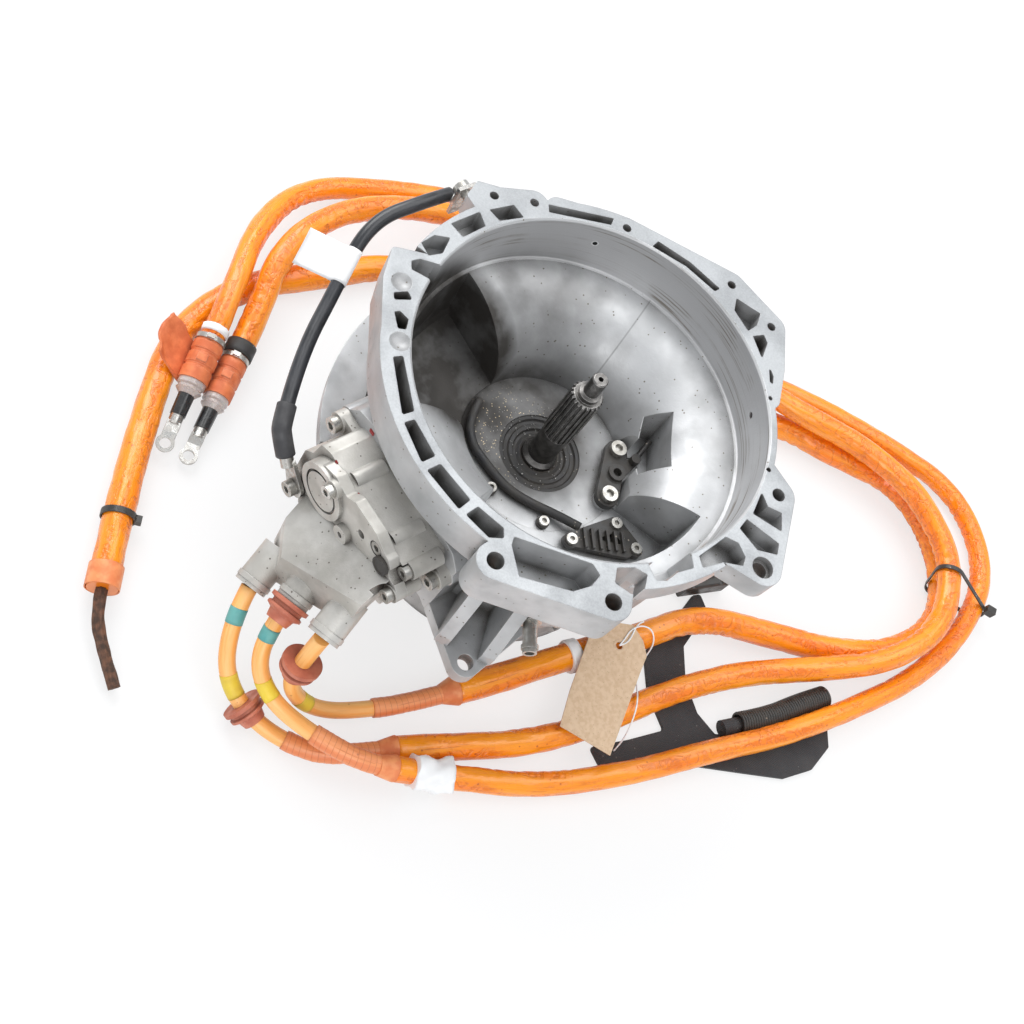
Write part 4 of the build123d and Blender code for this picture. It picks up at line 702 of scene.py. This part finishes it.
# %% Woven tape of the flat harness
woven = worn("woven tape", (0.030, 0.030, 0.033), (0.055, 0.054, 0.056), 0.0, (0.6, 0.8), 60, 0.0, 0.2,
             dirt_and_shade_colour=(0.10, 0.09, 0.08), overlay_amount=0.35, specks_of=(0.14, 0.13, 0.12), speck_share=0.02)
tree = woven["tree"]
threads = calc(tree, "ADD", *(
    put(tree, "ShaderNodeTexWave", {"Vector": woven["place"], "Scale": 230.0, "Distortion": 0.6},
        bands_direction=way).outputs["Fac"] for way in "XY"))
weave_relief = bump_of(tree, threads, 0.4, 0.0005, woven["relief"].outputs[0])
tree.links.new(weave_relief.outputs[0], woven["shader"].inputs["Normal"])
finishes["woven"] = woven

# %% [markdown]
# ## Which finish goes on which solid
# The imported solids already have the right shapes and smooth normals, so they keep their meshes and
# only change material. One table says which finish each of them takes.

# %% Dress the solids
FINISH_OF = {
    "bell": ["bell_housing"],
    "case": ["motor_case", "rear_cover", "rotor_end_plates"],
    "blasted": ["terminal_box", "terminal_lid", "outlet_housing"],
    "zinc": ["case_bolts", "rear_cover_bolts", "lid_bolts", "box_bolts", "ground_bolts", "sensor_bolts",
             "comb_screws", "coolant_nipple", "connector_bands"],
    "shaft": ["rotor_shaft"],
    "laminated": ["stator_core", "rotor_core", "resolver_rotor", "resolver_stator", "rotor_magnets"],
    "copper": ["phase_windings", "busbars"],
    "bearing": ["front_bearing_outer", "front_bearing_inner", "front_bearing_balls",
                "rear_bearing_outer", "rear_bearing_inner", "rear_bearing_balls"],
    "brass": ["front_bearing_cage", "rear_bearing_cage"],
    "rubber": ["shaft_seal", "vent_plug"],
    "plastic": ["sensor_bracket", "sensor_tip", "comb_connector", "loom_clips", "harness_plug", "cable_tie",
                "bundle_tie", "terminal_block"],
    "shrink": ["lug_shrinks"],
    "grommet": ["cable_grommets"],
    "plug": ["cable_connectors"],
    "seal": ["connector_seals"],
    "tinned": ["cable_lugs", "ground_lugs"],
    "torn": ["torn_end"],
    "woven": ["signal_harness"],
    "card": ["paper_tag"],
    "tape": ["tape_wraps"],
}
for finish, nodes in FINISH_OF.items():
    for node in nodes:
        paint(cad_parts[node], finish)
print("dressed", sum(len(nodes) for nodes in FINISH_OF.values()), "solids")

# %% [markdown]
# ## Cables take their places
# Each tube rides on the housing and stands for its plain solid.

HOUSING = "housing"


def settle(piece, *nodes, slot=None, body=HOUSING):
    """The piece moves with a body, and stands for the plain solids it replaces."""
    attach(piece, body)
    if nodes:
        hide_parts(*nodes)
    return piece


for i in range(3):
    number = i + 1
    settle(cores[i], "phase_cable_%d" % number, slot="orange_core")
    settle(sleeves[i], "cable_sleeve_%d" % number, slot="orange_sleeve")
settle(paint(ground, "jacket"), "ground_cable", slot="grey_jacket")
settle(paint(loom, "rubber"), "bell_loom", slot="black_rubber")


def frayed(distance, turn, outward, bend):
    """Strands that swell and part, with lumps along them."""
    strand = 0.5 + 0.5 * math.cos(7 * turn * TURN + distance * 90)
    lumps = wander(distance / 0.012, *on_circle(turn))
    return TORN_D / 2 * MM * (0.92 - 0.16 * strand + 0.14 * lumps)


torn = paint(skin("torn_strands", torn_path, frayed, 42), "torn")
settle(torn, "torn_end", slot="black_rubber")
print("torn end", round(length_of(torn_path), 3), "m")

# %% Pieces along the cables
# Start and end along each core, in mm
TAPE_SPANS = [(132, 215), (118, 186), (140, 211)]
TAPE_T = 1.1
TAPE_PITCH = 0.0045


def wound_tape(d, seed):
    """Overlapping turns, a little uneven."""
    def radius(distance, turn, outward, bend):
        lap = (distance / TAPE_PITCH + turn) % 1
        x, y = on_circle(turn)
        uneven = wander(distance / 0.01, x, y + seed)
        return (d / 2 + 0.25 - 0.35 * lap + 0.35 * uneven) * MM
    return radius


for i, (start, end) in enumerate(TAPE_SPANS):
    name = "tape_%d" % (i + 1)
    turns = wound_tape(CORE_D + 2 * TAPE_T, len(name) + start)
    piece = skin(name, stretch(core_paths[i], start, end), turns, 30)
    settle(paint(piece, "wound"), slot="orange_tape")

BANDS = [
    ("teal_band_1", core_paths[0], 15, 30, "teal"), ("yellow_band_1", core_paths[0], 66, 86, "yellow"),
    ("teal_band_2", core_paths[1], 22, 36, "teal"), ("yellow_band_2", core_paths[1], 64, 82, "yellow"),
    ("yellow_band_3", core_paths[2], 76, 92, "yellow"),
]
for name, path, start, end, finish in BANDS:
    piece = skin(name, stretch(path, start, end), round_tube(CORE_D + 0.5), 28)
    settle(paint(piece, finish), slot="orange_tape")

# %% The cords that lie free
print("free cords: 9")

# %% [markdown]
# ## Paper, labels and string
# Someone has tied a card tag to one sleeve, and paper wraps sit on two others and on the ground
# lead. Each of them lies on a cable, so each is drawn along that cable's path: a crumpled wrap is
# a short tube that stands off in folds, and the flag is a strip folded round the lead.

# %% Crumpled wraps
def crumpled(d, seed, flare):
    """Paper round a cable, standing off from it in folds."""
    def radius(distance, turn, outward, bend):
        ring = Vector((*(along * 1.6 for along in on_circle(turn)), seed))
        fold = noise.noise(ring + Vector((distance / 0.011, 0, 0)))
        sharp = abs(noise.noise(ring * 1.9 + Vector((distance / 0.006, 5, 0))))
        return (d / 2 + 0.9 + flare * max(0, fold + 0.25) + 1.3 * sharp) * MM
    return radius


def sleeve_end(i, before, after):
    """A stretch counted back from the far end of a sleeve, in millimetres."""
    total = length_of(sleeve_paths[i]) / MM
    return stretch(sleeve_paths[i], total - before, total - after)


WRAPS = [
    ("paper_wrap", stretch(sleeve_paths[1], 14, 48), crumpled(SLEEVE_D[1], 2.0, 5.0), "paper", 40),
    ("paper_collar", stretch(sleeve_paths[2], 98, 111), crumpled(SLEEVE_D[2], 7.0, 0.6), "paper", 36),
    ("plug_collar", sleeve_end(1, 11, 2), crumpled(SLEEVE_D[1] - 1.2, 4.0, 0.4), "paper", 32),
    ("rubber_band", sleeve_end(0, 13, 0), round_tube(SLEEVE_D[0] + 2.6), "rubber", 36),
]
wraps = []
for name, path, radius, finish, sides in WRAPS:
    wraps.append(settle(paint(skin(name, path, radius, sides), finish)))
print("wraps:", [piece.name for piece in wraps])

# %% Shrink sleeve over the lower ground lug
SHRINK_D = 13.9
LEAD_END = Vector(GROUND_ROUTE[-1])
LUG_REST = Vector((-74, -188.8, 134))
lead_way = (LEAD_END - Vector(GROUND_ROUTE[-2])).normalized()
knee = LEAD_END + lead_way * 12
knee_way = (LUG_REST - knee).normalized()
barrel = [LEAD_END - lead_way * 6, knee - lead_way * 3, knee + knee_way * 3, LUG_REST]
barrel_path = read_path("line", barrel, 14)
settle(paint(skin("ground_lug_sleeve", barrel_path, round_tube(SHRINK_D), 28), "shrunk"))
print("shrink sleeve", round(length_of(barrel_path) / MM), "mm")

# %% Paper flag folded round the ground lead
FLAG_SPAN = (93, 124)
FLAG_REACH = Vector((-31, -17, -4)) * MM
PAPER_T = 0.3
HALF_GAP = 0.35 * MM


def surface(name, rows, thickness):
    """A smooth sheet through rows of points, given a thickness by Solidify."""
    mesh = bmesh.new()
    grid = [[mesh.verts.new(point) for point in row] for row in rows]
    for above, below in zip(grid, grid[1:]):
        for k in range(len(above) - 1):
            mesh.faces.new((above[k], above[k + 1], below[k + 1], below[k])).smooth = True
    bmesh.ops.recalc_face_normals(mesh, faces=mesh.faces)
    piece = mesh_piece(name, mesh)
    wall = piece.modifiers.new("thickness", "SOLIDIFY")
    wall.thickness = thickness * MM
    wall.offset = 0
    return piece


rows = []
for point, ahead, side, over in carried_frames(stretch(ground_path, *FLAG_SPAN)):
    out = FLAG_REACH - ahead * FLAG_REACH.dot(ahead)
    reach = out.length
    out.normalize()
    face = out.cross(ahead).normalized()
    hug = (GROUND_D / 2 + 0.5) * MM
    wave = 1.6 * MM * noise.noise(point * 60)
    sheets = [[point + out * reach * share
               + face * (way * (HALF_GAP + hug * max(0, 1 - 5 * share)) + wave * share)
               for share in (0.15, 0.25, 0.4, 0.6, 0.8, 1)] for way in (1, -1)]
    fold = [point + (out * math.cos(angle) + face * math.sin(angle)) * hug
            for angle in (math.radians(degrees) for degrees in range(60, 301, 20))]
    rows.append(sheets[0][::-1] + fold + sheets[1])
settle(paint(surface("paper_flag", rows, PAPER_T), "paper"))
print("flag reaches", round(FLAG_REACH.length / MM), "mm")

# %% String of the tag
TAG_EYE = (152, 16)
STRING_D = 1.3


def top_of(node, x, y):
    """Height of a solid's top at a place, in millimetres, found by a ray from above."""
    hit, place, _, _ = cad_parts[node].ray_cast(Vector((x * MM, y * MM, 1)), Vector((0, 0, -1)))
    return place.z / MM if hit else 0.0


tag_z = top_of("paper_tag", TAG_EYE[0] + 4, TAG_EYE[1]) + STRING_D / 2
STRING_ROUTE = [(152, 16, tag_z), (150, 23, tag_z + 0.6), (146, 33, tag_z + 1.4), (148, 44, 33),
                (156, 51, 31), (166, 48, 25), (171, 39, 14), (176, 28, 9), (186, 15, 20), (194, 5, 29),
                (202, -4, 30), (211, -14, 23), (217, -20, 10), (219, -27, 4.3)]
string_path = read_path("line", STRING_ROUTE, 14)
string = skin("tag_string", string_path, round_tube(STRING_D), 10)
SECOND_STRAND = [(152, 16, tag_z), (154, 23, tag_z + 0.5), (150, 32, tag_z + 1.2), (145, 41, 32),
                 (146, 48, 31)]
strand = skin("tag_string_loop", read_path("line", SECOND_STRAND, 12), round_tube(STRING_D), 10)
for piece in (string, strand):
    settle(paint(piece, "paper"))

# A punched ring of stiffer card round the tag's hole, spun from its small section
ring = bmesh.new()
RING_IN, RING_OUT, RING_T = 3.1, 5.4, 0.35
RING_SIDES = 40
section = [(RING_IN, -0.3), (RING_OUT, -0.3), (RING_OUT, RING_T * 0.6), (RING_OUT - 0.4, RING_T),
           (RING_IN + 0.4, RING_T), (RING_IN, RING_T * 0.6)]
loops = [[ring.verts.new(Matrix.Rotation(TURN * k / RING_SIDES, 3, "Z") @ Vector((r, 0, z)) * MM)
          for r, z in section] for k in range(RING_SIDES)]
for first, second in zip(loops, loops[1:] + loops[:1]):
    for k in range(len(section)):
        after = (k + 1) % len(section)
        ring.faces.new((first[k], first[after], second[after], second[k])).smooth = True
bmesh.ops.recalc_face_normals(ring, faces=ring.faces)
slope = math.atan2(top_of("paper_tag", 147, 16) - top_of("paper_tag", 158, 16), 11)
ring.transform(Matrix.Translation(Vector((*TAG_EYE, tag_z - STRING_D / 2)) * MM)
               @ Matrix.Rotation(slope, 4, "Y"))
settle(paint(mesh_piece("tag_ring", ring), "card"))
print("string", round(length_of(string_path), 3), "m, tag leans", round(math.degrees(slope), 1), "degrees")

# %% [markdown]
# ## Torn boot on the first plug
# The rubber boot of one plug is split and peels back like a leaf. It is one sheet of points: one
# direction runs along the plug, the other leaves its side and curls up, and noise makes the edge
# ragged. Solidify gives it the wall of a moulding.

# %% Torn boot
PLUG_END = Vector(SLEEVE_ROUTES[1][-1]) * MM
PLUG_AXIS = Vector((0.622, -0.751, -0.22)).normalized()
LEFTWARD = Vector((-0.775, -0.554, -0.3))
TOWARD = Vector((-0.02, -0.3, 0.955))
rows = []
ROWS, COLUMNS = 22, 18
BOOT_T = 1.5
for i in range(ROWS + 1):
    share = i / ROWS
    row = []
    for k in range(COLUMNS + 1):
        out = k / COLUMNS
        ragged = wander(share * 4, 1.7, out * 2) * out
        along_plug = (8 - 12 * out ** 1.5) * (1 - share) + (44 - 12 * out) * share + 5 * ragged
        sideways = 9.5 + 25 * out - 6 * out * (2 * share - 1) ** 2 + 4 * ragged
        lift = -4 + 27 * out + 2.0 * math.sin(share * math.pi) * out
        row.append(PLUG_END + (PLUG_AXIS * along_plug + LEFTWARD * sideways + TOWARD * lift) * MM)
    rows.append(row)
boot = settle(paint(surface("torn_boot", rows, BOOT_T), "plug"), slot="orange_plastic")
print("torn boot faces", len(boot.data.polygons))

# %% Red gasket tabs at the joints of the box
TABS = [((-51, -143, 172), 5), ((-15, -176, 170), 4), ((-43, -176, 168), 3)]
tabs = bmesh.new()
for (x, y, z), width in TABS:
    made = bmesh.ops.create_cube(tabs, size=1)["verts"]
    shape = Matrix.Translation(Vector((x, y, z)) * MM) @ Matrix.Diagonal((width * MM, 1.2 * MM, 4 * MM, 1))
    bmesh.ops.transform(tabs, matrix=shape, verts=made)
bmesh.ops.bevel(tabs, geom=tabs.edges[:], offset=0.4 * MM, segments=2, affect="EDGES")
settle(paint(mesh_piece("gasket_tabs", tabs), "red"))
print("gasket tabs:", len(TABS))

# %% [markdown]
# ## Geometry Nodes for what repeats
# Two things on this motor come in numbers: the rings of the split conduit on the flat harness, and
# the chips of metal and dust that stick in the oil round the shaft. Each gets a small tree with
# named inputs, and the result is turned into one plain mesh.

# %% Shared steps for a node tree
def repeat_tree(name, inputs):
    """A Geometry Nodes tree with one geometry in and out, and named values."""
    tree = bpy.data.node_groups.new(name, "GeometryNodeTree")
    sockets = {}
    tree.interface.new_socket("Geometry", in_out="INPUT", socket_type="NodeSocketGeometry")
    for label, kind, default in inputs:
        socket = tree.interface.new_socket(label, in_out="INPUT", socket_type=kind)
        socket.default_value = default
        sockets[label] = socket.identifier
    tree.interface.new_socket("Geometry", in_out="OUTPUT", socket_type="NodeSocketGeometry")
    return tree, tree.nodes.new("NodeGroupInput").outputs, sockets


def close_tree(tree, instances, finish):
    """The last steps of each tree: make the copies real and give them their material."""
    real = put(tree, "GeometryNodeRealizeInstances", {0: instances.outputs[0]})
    dressed = put(tree, "GeometryNodeSetMaterial",
                  {0: real.outputs[0], "Material": finishes[finish]["material"]})
    tree.links.new(dressed.outputs[0], tree.nodes.new("NodeGroupOutput").inputs[0])


def grown(name, carrier, tree, sockets, values, finish):
    """Runs the tree on a carrier object and keeps the result as one plain mesh."""
    modifier = carrier.modifiers.new(name, "NODES")
    modifier.node_group = tree
    for label, value in values.items():
        modifier[sockets[label]] = value
    shape = carrier.evaluated_get(bpy.context.evaluated_depsgraph_get())
    data = bpy.data.meshes.new_from_object(shape)
    bpy.data.objects.remove(carrier)
    return paint(add(name, data), finish)


# %% Rings of the split conduit
CONDUIT = [(258, 84, 10.4), (268.5, 112, 10.4), (274, 145, 10.4), (281, 172, 10.4)]
CONDUIT_D = 19
tree, given, sockets = repeat_tree(
    "Conduit rings", [("Rings", "NodeSocketInt", 18), ("Ring radius", NUMBER, 0.0072),
                      ("Wall", NUMBER, 0.0009)])
spots = put(tree, "GeometryNodeCurveToPoints", {"Curve": given["Geometry"], "Count": given["Rings"]})
hoop = put(tree, "GeometryNodeCurvePrimitiveCircle", {"Radius": given["Ring radius"], "Resolution": 28})
cut = put(tree, "GeometryNodeCurvePrimitiveCircle", {"Radius": given["Wall"], "Resolution": 8})
torus = put(tree, "GeometryNodeCurveToMesh", {"Curve": hoop.outputs[0], "Profile Curve": cut.outputs[0]})
placed = put(tree, "GeometryNodeInstanceOnPoints",
             {"Points": spots.outputs["Points"], "Instance": torus.outputs[0],
              "Rotation": spots.outputs["Rotation"]})
close_tree(tree, placed, "plastic")
conduit_line = spline_curve("conduit_line", CONDUIT, 20)
conduit = grown("conduit_rings", conduit_line, tree, sockets,
                {"Rings": 38, "Ring radius": (CONDUIT_D / 2 - 0.6) * MM, "Wall": 1.25 * MM}, "plastic")
settle(conduit, slot="black_plastic")
print("conduit rings:", len(conduit.data.polygons), "faces")

# %% Chips in the oil round the shaft
HUB_Z = 0.114
CHIP_FIELD = [(-44, -30), (-10, -46), (22, -34), (26, 4), (10, 30), (-30, 34), (-48, 6)]
tree, given, sockets = repeat_tree(
    "Chips", [("Density", NUMBER, 30000.0), ("Chip size", NUMBER, 0.0006), ("Seed", "NodeSocketInt", 5)])
strewn = put(tree, "GeometryNodeDistributePointsOnFaces",
             {"Mesh": given["Geometry"], "Density": given["Density"], "Seed": given["Seed"]})
chip = put(tree, "GeometryNodeMeshIcoSphere", {"Radius": given["Chip size"], "Subdivisions": 1})
size = put(tree, "FunctionNodeRandomValue", {2: 0.35, 3: 1.0, "Seed": given["Seed"]})
turn_by = put(tree, "FunctionNodeRandomValue", {0: (0, 0, 0), 1: (3, 3, 3), "Seed": given["Seed"]},
              data_type="FLOAT_VECTOR")
placed = put(tree, "GeometryNodeInstanceOnPoints",
             {"Points": strewn.outputs["Points"], "Instance": chip.outputs["Mesh"],
              "Rotation": turn_by.outputs[0], "Scale": size.outputs[1]})
close_tree(tree, placed, "tinned")
field = bpy.data.meshes.new("chip_field")
field.from_pydata([(x * MM, y * MM, HUB_Z) for x, y in CHIP_FIELD], [], [tuple(range(len(CHIP_FIELD)))])
chips = grown("oil_chips", add("chip_field", field), tree, sockets,
              {"Density": 32000.0, "Chip size": 0.55 * MM, "Seed": 7}, "tinned")
settle(chips)
print("chips:", len(chips.data.polygons) // 20)

# %% [markdown]
# ## Floor and lamps
# A pale floor takes the shadow. Three large soft lamps and an even sky give the plain daylight of
# the photograph, strongest from the upper left, so that the bowl shades from dark to bright.

# %% Floor
FLOOR_HALF = 6.0
floor_data = bpy.data.meshes.new("floor")
floor_data.from_pydata([(-FLOOR_HALF, -FLOOR_HALF, 0), (FLOOR_HALF, -FLOOR_HALF, 0),
                        (FLOOR_HALF, FLOOR_HALF, 0), (-FLOOR_HALF, FLOOR_HALF, 0)], [], [(0, 1, 2, 3)])
floor_data.transform(Matrix.Translation((0, 0, -0.0004)))
floor = add("floor", floor_data)
paper_white, tree, shader = blank_material("white floor")
shader.inputs["Base Color"].default_value = colour(0.86, 0.86, 0.86)
shader.inputs["Roughness"].default_value = 0.9
seen = put(tree, "ShaderNodeLightPath")
directly = calc(tree, "MAXIMUM", seen.outputs["Is Camera Ray"], calc(
    tree, "MAXIMUM", seen.outputs["Is Glossy Ray"], seen.outputs["Is Transmission Ray"]))
lit = put(tree, "ShaderNodeEmission", {"Strength": 1.0})
both = put(tree, "ShaderNodeMixShader",
           {0: product(tree, directly, 0.7), 1: shader.outputs[0], 2: lit.outputs[0]})
tree.links.new(both.outputs[0], tree.nodes["Material Output"].inputs["Surface"])
floor_data.materials.append(paper_white)

# %% Sky and lamps
world = bpy.data.worlds.new("plain sky")
scene.world = world
world.use_nodes = True
tree = world.node_tree
seen = put(tree, "ShaderNodeLightPath")
sky = tree.nodes["Background"]
sky.inputs["Color"].default_value = colour(0.93, 0.96, 1.0)
sky.inputs["Strength"].default_value = 0.68
white = put(tree, "ShaderNodeBackground", {"Strength": 1.0})
choose = put(tree, "ShaderNodeMixShader",
             {0: seen.outputs["Is Camera Ray"], 1: sky.outputs[0], 2: white.outputs[0]})
tree.links.new(choose.outputs[0], tree.nodes["World Output"].inputs["Surface"])


def soft_lamp(name, place, target, size, power):
    data = bpy.data.lights.new(name, "AREA")
    data.shape = "SQUARE"
    data.size = size
    data.energy = power
    lamp = add(name, data)
    lamp.location = place
    lamp.rotation_euler = (Vector(target) - Vector(place)).to_track_quat("-Z", "Y").to_euler()
    return lamp


MIDDLE = (0, 0, 0.1)
lamps = [
    soft_lamp("window", (-1.5, 0.3, 1.5), MIDDLE, 1.3, 26),
    soft_lamp("ceiling", (0.1, 0.9, 2.1), MIDDLE, 1.8, 21),
    soft_lamp("near fill", (1.2, -1.4, 1.3), MIDDLE, 1.2, 14),
]
print("lamps:", [lamp.name for lamp in lamps])
